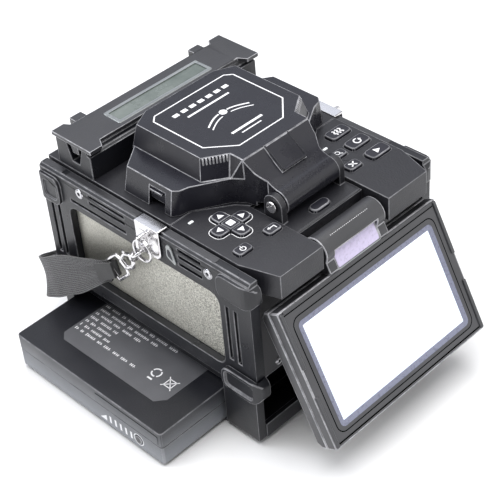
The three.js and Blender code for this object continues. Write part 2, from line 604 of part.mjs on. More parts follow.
function displayShell() {
  const { half, back, top, bottom } = DISPLAY;
  const outline = [
    [4, bottom], [back - 3, bottom], [back, bottom + 3], [back, top - 3], [back - 3, top], [4, top],
  ];
  const hollow = box([-half + 3, half - 3], [3, back - 3], [bottom + 3, top - 3]);
  return prism('x', outline, [-half, half]).subtract(hollow);
}

function displayBezel() {
  const { half, face, top, bottom } = DISPLAY;
  const edge = roundedRect([-SCREEN.half, SCREEN.half], [SCREEN.bottom, SCREEN.top], 3);
  const opening = prism('y', edge, [-10, 10]);
  return box([-half, half], [face, 4 - GAP], [bottom, top]).subtract(opening);
}

add('display_neck', displayNeck(), LOOK.grey, display);
add('display_shell', displayShell(), LOOK.black, display);
add('display_bezel', displayBezel(), LOOK.grey, display);
add('display_glass', prism('y', roundedRect([-SCREEN.half + GAP, SCREEN.half - GAP],
  [SCREEN.bottom + GAP, SCREEN.top - GAP], 3), [DISPLAY.face + 0.6, DISPLAY.face + 2]), LOOK.glass, display);
add('display_module', box([-SCREEN.half + 2, SCREEN.half - 2], [DISPLAY.face + 2.4, 7.4],
  [SCREEN.bottom + 2, SCREEN.top - 2]), LOOK.steel, display);

// ---------------------------------------------------------------- battery
const CELL = { radius: 9.1, count: 6, pitch: 18.6 };
const CHARGE_BUTTON = { y: -33, z: 8.4, radius: 2.6 };

function batteryCase(low, high, cavity) {
  const { out, front, back, wall } = BATTERY;
  const plan = (grow) => roundedRect([out - grow, BATTERY.in + grow], [front - grow, back + grow], 2 + grow);
  return prism('z', plan(0), [low, high]).subtract(prism('z', plan(-wall), cavity));
}

// The six cells side by side, as one pack seen from the end: a row of touching circles.
function cellPack() {
  const z = (BATTERY.bottom + BATTERY.top) / 2;
  const first = (BATTERY.front + BATTERY.back) / 2 - (CELL.pitch * (CELL.count - 1)) / 2;
  let pack = box([-104, -38], [first, first + CELL.pitch * (CELL.count - 1)], [z - 4, z + 4]);
  for (let i = 0; i < CELL.count; i += 1) {
    pack = pack.add(rod('x', [first + i * CELL.pitch, z], CELL.radius, [-105, -37], 16));
  }
  return pack;
}

function batteryLower() {
  const { bottom, seam, wall } = BATTERY;
  const hole = rod('x', [CHARGE_BUTTON.y, CHARGE_BUTTON.z], CHARGE_BUTTON.radius + GAP, [-120, -106], 16);
  return batteryCase(bottom, seam - GAP, [bottom + wall, seam + 5]).subtract(hole);
}

add('battery_lower_case', batteryLower(), LOOK.black);
const LID_HOLLOW = [BATTERY.seam - 5, BATTERY.top - BATTERY.wall];
add('battery_upper_case', batteryCase(BATTERY.seam, BATTERY.top, LID_HOLLOW), LOOK.black);
add('battery_cells', cellPack(), LOOK.cell);
add('battery_button', rod('x', [CHARGE_BUTTON.y, CHARGE_BUTTON.z], CHARGE_BUTTON.radius,
  [BATTERY.out - 0.5, BATTERY.out + 2.2], 16), LOOK.grey);

// ---------------------------------------------------------------- carrying strap
const BRACKET = { ys: [-20, -2], skin: 1.1, ear: { ys: [-12, -10], out: 77, z: 108.6 } };
const RING = { radius: 6.3, wire: 0.8, x: 73.6, y: -11, low: 102.3 };

function strapBracket(side) {
  const plate = [CAGE.outer + GAP, CAGE.outer + GAP + BRACKET.skin];
  const foot = CAGE.top + GAP;
  let bracket = box([side * 63, side * plate[1]], BRACKET.ys, [foot, foot + BRACKET.skin]);
  bracket = bracket.add(prism('x', roundedRect(BRACKET.ys, [97, 112], 4, 4), plate.map((x) => side * x)));
  bracket = bracket.add(box(plate.map((x) => side * x), BRACKET.ys, [106, CAGE.top + GAP + BRACKET.skin]));
  const { ys, out, z } = BRACKET.ear;
  const ear = roundedRect([side * (plate[1] - 0.4), side * out], [z - 4, z + 4], 2);
  bracket = bracket.add(prism('y', ear, ys));
  return bracket.subtract(rod('y', [side * RING.x, z], 1.9, [-30, 10], 12));
}

function strapRing() {
  const ring = new THREE.TorusGeometry(RING.radius, RING.wire, 6, 20);
  ring.rotateY(Math.PI / 2);
  return solid(ring.translate(-RING.x, RING.y, RING.low));
}

// The swivel hook, drawn hanging along +Y from its eye: a swivel eye, a pin and a flat frame for the webbing.
const HOOK = { thick: 2.4, eye: 3.3, end: 34, half: 6.4 };

function strapHook() {
  const { thick, eye, end, half } = HOOK;
  const flat = [-thick / 2, thick / 2];
  let hook = prism('z', [...arc([0, 0], eye, 180, 360, 6), [eye, 4], [-eye, 4]], flat);
  hook = hook.subtract(rod('z', [0, 0], 1.9, [-5, 5], 12));
  hook = hook.add(rod('y', [0, 0], 1.6, [3, 14], 12));
  hook = hook.add(prism('x', [[11, -2.4], [15, -2.4], [19, -half], [end, -half], [end, half], [19, half],
    [15, 2.4], [11, 2.4]], flat));
  return hook.subtract(box([-5, 5], [21, end - 2.4], [2.4 - half, half - 2.4]));
}

// The webbing's middle line, from the hook round the back of the cage to the right bracket, with its
// width at each point: the ends are gathered into loops.
const WEBBING = { width: 25, thick: 1.6 };
const ROUTE = [
  [-74.6, 19, 72, 10], [-75.5, 27, 69.4, 14], [-76.6, 38, 63, 19], [-77.2, 50, 56, 24],
  [-77.4, 62, 48.5, 25], [-77.2, 73, 41, 25], [-74.5, 83, 35, 25], [-66, 88.5, 29.5, 25],
  [-52, 91.5, 24, 25], [-35, 93.5, 19.5, 25], [-17, 94.8, 16.8, 25], [0, 95.2, 16, 25],
  [17, 94.8, 16.8, 25], [35, 93.5, 19.5, 25], [52, 91.5, 24, 25], [66, 88.5, 29.5, 25],
  [74.5, 83, 35, 25], [77.2, 73, 41, 25], [77.4, 62, 48.5, 25], [77.2, 50, 57, 25],
  [76.8, 38, 67, 24], [76.2, 26, 77.5, 20], [75.2, 14, 88, 15], [74, 3.5, 97, 11],
];

function strapWebbing() {
  const points = ROUTE.map(([x, y, z]) => new THREE.Vector3(x, y, z));
  const up = new THREE.Vector3(0, 0, 1);
  const rings = points.map((p, i) => {
    const ahead = points[Math.min(i + 1, points.length - 1)];
    const along = ahead.clone().sub(points[Math.max(i - 1, 0)]).normalize();
    const across = along.clone().cross(up).normalize();
    const edge = across.clone().cross(along).multiplyScalar(ROUTE[i][3] / 2);
    across.multiplyScalar(WEBBING.thick / 2);
    return [[-1, -1], [-1, 1], [1, 1], [1, -1]].map(([a, e]) => p.clone()
      .addScaledVector(across, a).addScaledVector(edge, e).toArray());
  });
  return skin(rings);
}

hanging.position.set(-RING.x, RING.y + RING.radius * Math.SQRT1_2, RING.low - RING.radius * Math.SQRT1_2);
hanging.rotation.x = -Math.PI / 4;
for (const [word, side] of SIDES) add(`${word}_strap_bracket`, strapBracket(side), LOOK.chrome);
add('strap_ring', strapRing(), LOOK.chrome);
add('strap_hook', strapHook(), LOOK.chrome, hanging);
add('strap_webbing', strapWebbing(), LOOK.webbing);

export default splicer;
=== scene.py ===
"""Looks for a fiber fusion splicer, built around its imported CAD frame. Lengths are written in millimetres
and turned into metres by MM. +X is to the right of a person facing the display, +Y is the back."""

import json
import math

import bmesh
import bpy
from mathutils import Matrix, Vector, noise


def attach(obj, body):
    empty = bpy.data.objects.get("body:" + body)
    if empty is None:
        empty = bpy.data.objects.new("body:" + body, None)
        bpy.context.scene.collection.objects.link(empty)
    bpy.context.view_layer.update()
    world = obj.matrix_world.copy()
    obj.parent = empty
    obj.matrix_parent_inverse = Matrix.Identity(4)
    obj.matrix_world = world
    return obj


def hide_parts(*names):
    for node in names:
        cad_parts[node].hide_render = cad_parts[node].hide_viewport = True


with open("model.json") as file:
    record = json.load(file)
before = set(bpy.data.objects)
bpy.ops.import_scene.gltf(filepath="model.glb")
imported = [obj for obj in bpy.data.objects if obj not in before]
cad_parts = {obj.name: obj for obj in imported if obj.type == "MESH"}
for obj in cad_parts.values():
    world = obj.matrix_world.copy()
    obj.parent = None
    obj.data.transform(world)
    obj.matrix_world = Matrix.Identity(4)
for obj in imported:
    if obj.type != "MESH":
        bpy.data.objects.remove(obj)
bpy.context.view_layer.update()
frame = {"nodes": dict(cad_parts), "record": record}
NODES = frame["nodes"]
BODIES = frame["record"]["behaviour"]["bodies"]

MM = 0.001
DECK_Z = 116.3
KEY_TOP = 117.8
COVER_TOP = 143.3
BATTERY_TOP = 24.5
BATTERY_OUT = -111.0
RAIL_TOP = 114.6
SILL_TOP = 114
LID_TOP = 135.8
SHARP_ANGLE = 28  # edges that turn by more degrees than this get rounded
FOLD_LIMIT = 0.5  # square millimetres of folded face that are too small to see
NARROWEST_EDGE = 0.08  # rounding at or below this width is not narrowed again
PRINT_LIFT = 0.04  # how far a printed mark stands off its surface
DISPLAY_AXIS = (0.0, -83.0, 106.8)
DISPLAY_TILT = math.radians(-27)
GLASS_FACE = -2.6  # depths in the display's own axes, measured from its hinge
BEZEL_FACE = -3.2
NECK_FACE = -4.05
WHITE = (0.86, 0.86, 0.88)
# Pale edge colour: partly rubbed wear, partly a painted highlight.
PALE_EDGE_WEAR_AND_HIGHLIGHT = (0.55, 0.55, 0.58)
# Colour of the painted floor reflection on upright faces.
FLOOR_GLOW = (0.55, 0.58, 0.63)


# ---------------------------------------------------------------- materials
class Nodes:
    """Builds one material's node tree with short calls."""

    def __init__(self, name):
        self.material = bpy.data.materials.new(name)
        self.material.use_nodes = True
        self.tree = self.material.node_tree
        self.shader = self.tree.nodes["Principled BSDF"]
        self.place = self.tree.nodes.new("ShaderNodeTexCoord").outputs["Object"]

    def add(self, kind, inputs=(), **settings):
        node = self.tree.nodes.new(kind)
        for key, value in settings.items():
            setattr(node, key, value)
        for key, value in dict(inputs).items():
            self.feed(node.inputs[key], value)
        return node

    def feed(self, socket, value):
        if isinstance(value, bpy.types.NodeSocket):
            self.tree.links.new(value, socket)
        elif socket.type == "RGBA" and len(value) == 3:
            socket.default_value = (*value, 1)
        else:
            socket.default_value = value

    def set(self, **inputs):
        for key, value in inputs.items():
            self.feed(self.shader.inputs[key.replace("_", " ")], value)

    def noise(self, scale, detail=3, rough=0.55, vector=None):
        inputs = {"Vector": vector or self.place, "Scale": scale, "Detail": detail, "Roughness": rough}
        return self.add("ShaderNodeTexNoise", inputs).outputs["Fac"]

    def stretched(self, scale):
        return self.add("ShaderNodeMapping", {"Vector": self.place, "Scale": scale}).outputs["Vector"]

    def spread(self, value, low, high, start=0.3, end=0.7):
        inputs = {"Value": value, "From Min": start, "From Max": end, "To Min": low, "To Max": high}
        return self.add("ShaderNodeMapRange", inputs).outputs["Result"]

    def multiply(self, a, b):
        return self.add("ShaderNodeMath", {0: a, 1: b}, operation="MULTIPLY").outputs[0]

    def part(self, vector, axis):
        return self.add("ShaderNodeSeparateXYZ", {"Vector": vector}).outputs[axis]

    def mix(self, factor, a, b):
        node = self.add("ShaderNodeMix", data_type="RGBA")
        self.feed(node.inputs[0], factor)
        self.feed(node.inputs[6], a)
        self.feed(node.inputs[7], b)
        return node.outputs[2]

    def bump(self, height, distance, strength=1.0, under=None):
        inputs = {"Height": height, "Distance": distance * MM, "Strength": strength}
        if under is not None:
            inputs["Normal"] = under
        return self.add("ShaderNodeBump", inputs).outputs["Normal"]


def moulded_plastic(name, color, rough, grain=0.06, grain_scale=1400, edge_wear_and_highlight=0.35, metal=0.0, ior=1.75,
                    floor_reflection=0.0):
    """Black moulding: fine spark-eroded grain, faint clouding, handling marks, and paler edges that are
    partly rubbed wear and partly a painted highlight. Given a strength for it, it also gets paler down the
    low part of its
    upright faces: a painted reflection of the pale floor."""
    n = Nodes(name)
    cloud = n.noise(22, 4)
    wear_and_highlight_patches = n.noise(160, 5, 0.7)
    edge = n.add("ShaderNodeAttribute", attribute_name="edge").outputs["Fac"]
    # Bevelled edges are painted paler: partly rubbed wear, partly a painted highlight.
    wear_and_highlight_mask = n.multiply(n.multiply(edge, n.spread(wear_and_highlight_patches, 0.4, 1.0, 0.4, 0.65)), edge_wear_and_highlight)
    shade = n.mix(n.spread(cloud, 0, 1), [c * 0.82 for c in color], [c * 1.2 for c in color])
    # Painted reflection of the pale floor: upright faces turn paler towards the bottom.
    if floor_reflection:
        normal = n.add("ShaderNodeNewGeometry").outputs["Normal"]
        lying = n.add("ShaderNodeMath", {0: n.part(normal, "Z")}, operation="ABSOLUTE").outputs[0]
        upright = n.spread(lying, floor_reflection, 0, 0.2, 0.7)
        low = n.spread(n.part(n.place, "Z"), 1, 0.12, 0.002, 0.022)
        shade = n.mix(n.multiply(upright, low), shade, FLOOR_GLOW)
    grain_height = n.noise(grain_scale, 2)
    n.set(Base_Color=n.mix(wear_and_highlight_mask, shade, PALE_EDGE_WEAR_AND_HIGHLIGHT), IOR=ior, Metallic=metal,
          Roughness=n.spread(n.noise(45, 5, 0.65), rough - 0.07, rough + 0.09),
          Normal=n.bump(grain_height, grain))
    return n.material


def sand_metal():
    """The side panels: a blasted metallic paint, with coarse glittering grains and cloudy tone. Towards the
    front it is more pitted and paler; the paleness is a painted reflection."""
    n = Nodes("sand_metal")
    grains = n.noise(1300, 4, 0.75)
    lumps = n.noise(420, 3)
    tone = n.mix(n.spread(n.noise(16, 3), 0, 1, 0.35, 0.65), (0.34, 0.33, 0.29), (0.6, 0.59, 0.53))
    towards_front = n.spread(n.part(n.place, "Y"), 0.85, 0.3, -0.06, 0.04)
    # Painted reflection: the paint turns paler towards the front.
    tone = n.mix(towards_front, tone, (0.9, 0.89, 0.81))
    pits = n.multiply(n.spread(grains, 0.0, 1.0, 0.42, 0.6), towards_front)
    tone = n.mix(pits, tone, (0.1, 0.097, 0.08))
    rough_normal = n.bump(lumps, 0.3)
    n.set(Base_Color=tone, Metallic=0.8, Roughness=n.spread(grains, 0.25, 0.55),
          Normal=n.bump(grains, 0.22, under=rough_normal))
    return n.material


def plated(name, color, rough):
    """Bright plating over cast or pressed metal, with slight ripples, haze and fine scratches."""
    n = Nodes(name)
    scratches = n.noise(500, 2, 0.6, n.stretched((1, 0.06, 0.5)))
    haze = n.noise(60, 5, 0.7)
    ripple = n.bump(n.noise(170, 2), 0.09)
    n.set(Base_Color=n.mix(n.spread(haze, 0, 1), [c * 0.85 for c in color], color), Metallic=1.0,
          Roughness=n.spread(haze, rough, rough + 0.13), Normal=n.bump(scratches, 0.012, under=ripple))
    return n.material


def brushed(name, color, rough, along=(1, 0.04, 0.04)):
    """Bare metal with fine lines in one direction."""
    n = Nodes(name)
    lines = n.noise(700, 3, 0.6, n.stretched(along))
    n.set(Base_Color=n.mix(n.spread(lines, 0, 1), [c * 0.75 for c in color], color), Metallic=1.0,
          Roughness=n.spread(lines, rough, rough + 0.18), Normal=n.bump(lines, 0.02))
    return n.material


def rubber(name, color):
    """Dull rubber with pale dust in patches."""
    n = Nodes(name)
    dust = n.noise(120, 5, 0.7)
    n.set(Base_Color=n.mix(n.spread(dust, 0, 0.5, 0.5, 0.8), color, (0.12, 0.12, 0.12)),
          Roughness=n.spread(dust, 0.62, 0.85), Normal=n.bump(n.noise(800, 3), 0.07))
    return n.material


def printed(name, color, rough=0.5):
    """Screen-printed ink, slightly uneven."""
    n = Nodes(name)
    patchy = n.noise(600, 4, 0.6)
    n.set(Base_Color=n.mix(n.spread(patchy, 0, 1), [c * 0.86 for c in color], color),
          Roughness=n.spread(patchy, rough - 0.08, rough + 0.1), Normal=n.bump(patchy, 0.01))
    return n.material


def screen_glass():
    """A blank lit screen under glass: a soft, slightly uneven pale field with faint pixel rows."""
    n = Nodes("screen")
    rows = n.add("ShaderNodeTexWave", {"Vector": n.place, "Scale": 900.0, "Distortion": 0.0},
                 bands_direction="X").outputs["Fac"]
    tint = n.mix(n.spread(n.noise(9, 2), 0, 1), (0.66, 0.73, 0.84), (0.82, 0.87, 0.94))
    tint = n.mix(n.spread(rows, 0, 0.06), tint, (0.45, 0.5, 0.6))
    n.set(Base_Color=tint, Roughness=0.12, Coat_Weight=1.0, Coat_Roughness=0.04, Emission_Color=tint,
          Emission_Strength=0.55)
    return n.material


def dark_glass():
    """The heater lid's window: slightly smeared glass, drawn opaque, its dark colour a painted shade of the
    heater's inside.
    """
    n = Nodes("window_glass")
    smear = n.noise(40, 5, 0.7)
    # Dark base colour: painted shade of the heater's inside seen through the glass.
    n.set(Base_Color=n.mix(n.spread(smear, 0, 1), (0.08, 0.10, 0.09), (0.17, 0.19, 0.18)),
          Metallic=0.0, Roughness=n.spread(smear, 0.2, 0.35))
    return n.material


def webbing_weave():
    """Nylon webbing: ribs run across it, following the UV map, with a fuzzy sheen."""
    n = Nodes("webbing")
    uv = n.add("ShaderNodeUVMap", uv_map="UVMap").outputs["UV"]
    across = n.add("ShaderNodeTexWave", {"Vector": uv, "Scale": 14.0, "Distortion": 0.4},
                   bands_direction="X").outputs["Fac"]
    along = n.add("ShaderNodeTexWave", {"Vector": uv, "Scale": 16.0, "Distortion": 0.3},
                  bands_direction="Y").outputs["Fac"]
    weave = n.multiply(across, along)
    tone = n.mix(n.spread(weave, 0, 1, 0.1, 0.8), (0.008, 0.008, 0.009), (0.12, 0.12, 0.13))
    fuzz = n.bump(n.noise(1500, 3), 0.08)
    n.set(Base_Color=n.mix(n.spread(n.noise(50), 0, 0.3), tone, (0.07, 0.07, 0.075)), Roughness=0.82,
          Sheen_Weight=0.5, Sheen_Roughness=0.4, Normal=n.bump(weave, 0.45, under=fuzz))
    return n.material


def circuit_board():
    """Green board with a grid of pale traces."""
    n = Nodes("circuit_board")
    traces = n.add("ShaderNodeTexBrick", {"Vector": n.place, "Scale": 120.0, "Color1": (0.02, 0.14, 0.05),
                                          "Color2": (0.03, 0.19, 0.07), "Mortar": (0.25, 0.3, 0.12)})
    n.set(Base_Color=traces.outputs["Color"], Roughness=n.spread(n.noise(80), 0.3, 0.5),
          Normal=n.bump(traces.outputs["Fac"], 0.05))
    return n.material


LOOK = {
    "black": moulded_plastic("black_moulding", (0.009, 0.0095, 0.0125), 0.32, edge_wear_and_highlight=0.4, ior=1.45),
    "cover": moulded_plastic("cover_moulding", (0.010, 0.010, 0.015), 0.27, grain=0.04, edge_wear_and_highlight=0.75,
                             ior=1.45),
    # The ribs' pale grey is a painted highlight on black moulding.
    "rib": moulded_plastic("ribs_painted_highlight", (0.2, 0.2, 0.21), 0.3, grain=0.02, edge_wear_and_highlight=1.0, metal=0.2),
    "deck": moulded_plastic("deck_moulding", (0.014, 0.014, 0.018), 0.42, grain=0.15, grain_scale=1000,
                            ior=1.5),
    "satin": moulded_plastic("satin_charcoal", (0.030, 0.030, 0.034), 0.36, grain=0.1, grain_scale=1000,
                             edge_wear_and_highlight=0.85, ior=1.6),
    "graphite": moulded_plastic("graphite_paint", (0.042, 0.042, 0.047), 0.36, grain=0.03, edge_wear_and_highlight=0.8,
                                metal=0.25),
    # The battery's upright faces carry a painted reflection of the floor, paler towards the bottom.
    "battery": moulded_plastic("battery_moulding", (0.010, 0.0105, 0.0145), 0.36, grain=0.1,
                               grain_scale=1100, edge_wear_and_highlight=0.3, ior=1.5, floor_reflection=0.4),
    "key": moulded_plastic("key_rubber", (0.009, 0.009, 0.016), 0.45, grain=0.03, edge_wear_and_highlight=0.5, ior=1.5),
    "label": moulded_plastic("label_film", (0.095, 0.096, 0.105), 0.5, grain=0.012, grain_scale=2200,
                             edge_wear_and_highlight=0.0, ior=1.5),
    "sticker": printed("lilac_film", (0.62, 0.56, 0.76), 0.3),
    "rubber": rubber("bumper_rubber", (0.012, 0.012, 0.014)),
    "sand": sand_metal(),
    "chrome": plated("bright_plating", (0.76, 0.75, 0.76), 0.12),
    "screw": plated("zinc_screw", (0.62, 0.62, 0.64), 0.2),
    "steel": brushed("ground_steel", (0.55, 0.56, 0.58), 0.25),
    "silver": brushed("silver_trim", (0.42, 0.44, 0.44), 0.3, (0.04, 1, 1)),
    "brass": brushed("turned_brass", (0.62, 0.48, 0.22), 0.22),
    "ink": printed("white_ink", WHITE),
    "led": printed("led_lens", (0.9, 0.93, 0.95), 0.25),
    "ceramic": printed("ceramic", (0.78, 0.76, 0.7)),
    "cell": printed("cell_wrap", (0.05, 0.2, 0.42), 0.3),
    "board": circuit_board(),
    "screen": screen_glass(),
    "bevel": printed("screen_bevel_ink", (0.2, 0.21, 0.29), 0.3),
    # Near-black, barely reflecting: painted shade for the bezel's grooves.
    "groove_shade": moulded_plastic("painted_groove_shade", (0.002, 0.002, 0.002), 0.8, edge_wear_and_highlight=0.0, ior=1.1),
    "window": dark_glass(),
    "webbing": webbing_weave(),
}


# ---------------------------------------------------------------- piece helpers
def display_matrix():
    return Matrix.Translation(Vector(DISPLAY_AXIS) * MM) @ Matrix.Rotation(DISPLAY_TILT, 4, "X")


DISPLAY = display_matrix()


def link(name, mesh, look, body, replaces=()):
    """Puts a finished mesh in the scene as a piece that rides on a body."""
    obj = bpy.data.objects.new(name, mesh)
    bpy.context.scene.collection.objects.link(obj)
    mesh.materials.append(LOOK[look])
    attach(obj, body)
    if replaces:
        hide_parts(*replaces)
    return obj


def smooth(mesh, angle=38):
    mesh.shade_smooth()
    mesh.set_sharp_from_angle(angle=math.radians(angle))


def weigh_normals(obj):
    weighted = obj.modifiers.new("even_faces", "WEIGHTED_NORMAL")
    weighted.keep_sharp = True
    weighted.weight = 80


def round_edges(bm, width, segments=2):
    """Bevels every sharp edge and marks the new faces, for the material's paler edges: partly rubbed wear,
    partly a painted highlight.
    """
    layer = bm.faces.layers.float.new("edge")
    limit = math.radians(SHARP_ANGLE)
    sharp = [e for e in bm.edges if len(e.link_faces) == 2 and e.calc_face_angle(0) > limit]
    made = bmesh.ops.bevel(bm, geom=sharp, offset=width * MM, segments=segments, profile=0.6, affect="EDGES",
                           clamp_overlap=False, loop_slide=True)
    for face in made["faces"]:
        face[layer] = 1.0


def body_of(node):
    return next(body for body, members in BODIES.items() if node in members)


def folded_area(bm):
    """Area, in square millimetres, of triangles that face against the face they belong to."""
    bm.normal_update()
    total = 0.0
    for loops in bm.calc_loop_triangles():
        a, b, c = (loop.vert.co for loop in loops)
        normal = (b - a).cross(c - a) / 2
        if normal.dot(loops[0].face.normal) < 0:
            total += normal.length
    return total / (MM * MM)


def rounded_copy(node, width):
    """The node's mesh, still in triangles: merged flat faces with holes in them fold when rounded."""
    bm = bmesh.new()
    bm.from_mesh(NODES[node].data)
    bmesh.ops.remove_doubles(bm, verts=bm.verts, dist=0.002 * MM)
    round_edges(bm, width)
    return bm


def finished(node, look, width):
    """A moulded version of a CAD node: the same shape with its edges rounded, as widely as it can be
    without folding a face over its neighbour."""
    bm = rounded_copy(node, width)
    while folded_area(bm) > FOLD_LIMIT and width > NARROWEST_EDGE:
        bm.free()
        width *= 0.7
        bm = rounded_copy(node, width)
    mesh = bpy.data.meshes.new(f"{node}_shape")
    bm.to_mesh(mesh)
    bm.free()
    smooth(mesh)
    obj = link(f"{node}_finished", mesh, look, body_of(node), [node])
    weigh_normals(obj)


def dress(node, look):
    """Gives a CAD node a finished material."""
    data = NODES[node].data
    data.materials.clear()
    data.materials.append(LOOK[look])


def arc(centre, radius, start, end, steps=8):
    """Points on an arc, from one angle to another in degrees."""
    points = []
    for i in range(steps + 1):
        a = math.radians(start + (end - start) * i / steps)
        points.append((centre[0] + radius * math.cos(a), centre[1] + radius * math.sin(a)))
    return points


def rounded_rect(x0, x1, y0, y1, r, steps=5):
    return (arc((x1 - r, y0 + r), r, -90, 0, steps) + arc((x1 - r, y1 - r), r, 0, 90, steps)
            + arc((x0 + r, y1 - r), r, 90, 180, steps) + arc((x0 + r, y0 + r), r, 180, 270, steps))


def plane(origin, u, v):
    """A matrix that lays flat drawings, in millimetres, on a surface: u and v are the drawing's axes."""
    u, v = Vector(u), Vector(v)
    turn = Matrix((u, v, u.cross(v))).transposed().to_4x4()
    return Matrix.Translation(Vector(origin) * MM) @ turn @ Matrix.Scale(MM, 4)


def corners(bm, outline, height, lay):
    """The outline's points as new vertices, at that height above the drawing plane."""
    return [bm.verts.new(lay @ Vector((x, y, height))) for x, y in outline]


def join_rings(bm, rings):
    """Adds the faces between each closed ring of vertices and the next."""
    for a, b in zip(rings, rings[1:]):
        for i in range(len(a)):
            j = (i + 1) % len(a)
            bm.faces.new((a[i], a[j], b[j], b[i]))


def slab(bm, outline, low, high, lay, edge=0.0):
    """Adds a flat plate of that outline, from low to high above the drawing plane."""
    inner = shrink(outline, edge)
    levels = [(outline, low), (outline, high - edge)] + ([(inner, high)] if edge else [])
    rings = [corners(bm, ring, z, lay) for ring, z in levels]
    join_rings(bm, rings)
    bm.faces.new(list(reversed(rings[0])))
    bm.faces.new(rings[-1])


def shrink(outline, by):
    """The outline moved inwards by a distance, for an outline that runs anticlockwise."""
    points = [Vector(p) for p in outline]
    result = []
    for i, p in enumerate(points):
        before = (p - points[i - 1]).normalized()
        after = (points[(i + 1) % len(points)] - p).normalized()
        inward = Vector((-before.y - after.y, before.x + after.x))
        length = max(inward.length, 0.2)
        result.append(tuple(p + inward.normalized() * by * 2 / length))
    return result


def stroke(bm, points, width, lay, closed=False, height=PRINT_LIFT):
    """Adds a printed line of even width along the points."""
    points = [Vector(p) for p in points]
    count = len(points)
    sides = []
    for i, p in enumerate(points):
        before = points[i - 1] if closed or i else p
        after = points[(i + 1) % count] if closed or i + 1 < count else p
        a = (p - before).normalized() if before != p else (after - p).normalized()
        b = (after - p).normalized() if after != p else a
        normal = Vector((-a.y - b.y, a.x + b.x))
        reach = width / max(normal.length, 0.7)
        normal.normalize()
        sides.append([bm.verts.new(lay @ Vector((*(p + normal * reach * s), height))) for s in (1, -1)])
    for i in range(count if closed else count - 1):
        (a, b), (c, d) = sides[i], sides[(i + 1) % count]
        bm.faces.new((a, b, d, c))


def patch(bm, outline, lay, height=PRINT_LIFT):
    """Adds a printed filled shape."""
    bm.faces.new(corners(bm, outline, height, lay))


def built(name, draw, look, body, replaces=(), bevel=0.0, segments=2):
    """A new piece whose mesh is drawn by a function."""
    bm = bmesh.new()
    draw(bm)
    bmesh.ops.recalc_face_normals(bm, faces=bm.faces)
    if bevel:
        round_edges(bm, bevel, segments)
    mesh = bpy.data.meshes.new(f"{name}_shape")
    bm.to_mesh(mesh)
    bm.free()
    smooth(mesh)
    obj = link(name, mesh, look, body, replaces)
    if bevel:
        weigh_normals(obj)
    return obj


# Drawing planes. A drawing on the top stands upright for a person at the front, and one on a side for a
# person who faces that side.
def on_top(z):
    return plane((0, 0, z), (1, 0, 0), (0, 1, 0))


def on_display(depth):
    return DISPLAY @ plane((0, depth, 0), (1, 0, 0), (0, 0, 1))


ON_LEFT_FACE = plane((-68.5, 0, 0), (0, -1, 0), (0, 0, 1))
ON_RIGHT_FACE = plane((68.5, 0, 0), (0, 1, 0), (0, 0, 1))
ON_FRONT_PANEL = plane((0, -71.5, 0), (1, 0, 0), (0, 0, 1))
ON_BACK_PANEL = plane((0, 76.6, 0), (-1, 0, 0), (0, 0, 1))
ON_BATTERY_END = plane((BATTERY_OUT, 0, 0), (0, -1, 0), (0, 0, 1))


# ---------------------------------------------------------------- looks for the CAD nodes
def dress_plain_nodes():
    """Nodes that keep their CAD shape and only get a material."""
    looks = {
        "main_board": "board", "arc_board": "board", "battery_cells": "cell", "heater_plate": "ceramic",
        "microscope_unit": "brass", "splice_base": "steel", "front_electrode": "steel",
        "back_electrode": "steel", "display_module": "silver", "foot_pad": "rubber",
        "left_side_panel": "sand", "right_side_panel": "sand",
    }
    for node, look in looks.items():
        dress(node, look)


def finish_mouldings():
    """Every moulded or machined node gets the edge rounding that its size calls for."""
    plan = {
        "windshield_cover": ("cover", 0.6),
        "left_frame": ("black", 0.45), "right_frame": ("black", 0.45), "base_pan": ("black", 0.4),
        "front_panel": ("graphite", 0.4), "back_panel": ("black", 0.3), "main_deck": ("deck", 0.35),
        "left_keypad_deck": ("deck", 0.8), "right_keypad_deck": ("deck", 0.8),
        "heater_body": ("black", 0.5), "heater_lid": ("satin", 0.35),
        "left_heater_clamp": ("satin", 0.4), "right_heater_clamp": ("satin", 0.4),
        "display_neck": ("satin", 0.6), "display_shell": ("graphite", 0.9),
        "display_bezel": ("graphite", 0.9),
        "battery_lower_case": ("battery", 0.5), "battery_upper_case": ("battery", 0.5),
        "battery_button": ("satin", 0.5), "cover_hinge_pin": ("chrome", 0.5),
        "left_carriage": ("steel", 0.3), "right_carriage": ("steel", 0.3),
        "left_sheath_clamp": ("black", 0.4), "right_sheath_clamp": ("black", 0.4),
        "deck_button": ("key", 0.7), "left_strap_bracket": ("chrome", 0.5),
        "right_strap_bracket": ("chrome", 0.5),
    }
    for word in ("left", "right"):
        for end in ("front", "back"):
            plan[f"{word}_{end}_bumper"] = ("black", 0.9)
    for node in BODIES:
        if node.startswith("key_"):
            plan[node] = ("key", 0.55)
    for node, (look, width) in plan.items():
        finished(node, look, width)


def screen():
    """The screen's pane, with rounded corners."""
    def draw(bm):
        slab(bm, rounded_rect(-50.2, 50.2, -83.9, -24.7, 2.7), -1.4, 0, on_display(GLASS_FACE))

    built("screen_panel", draw, "screen", "display", ["display_glass"])


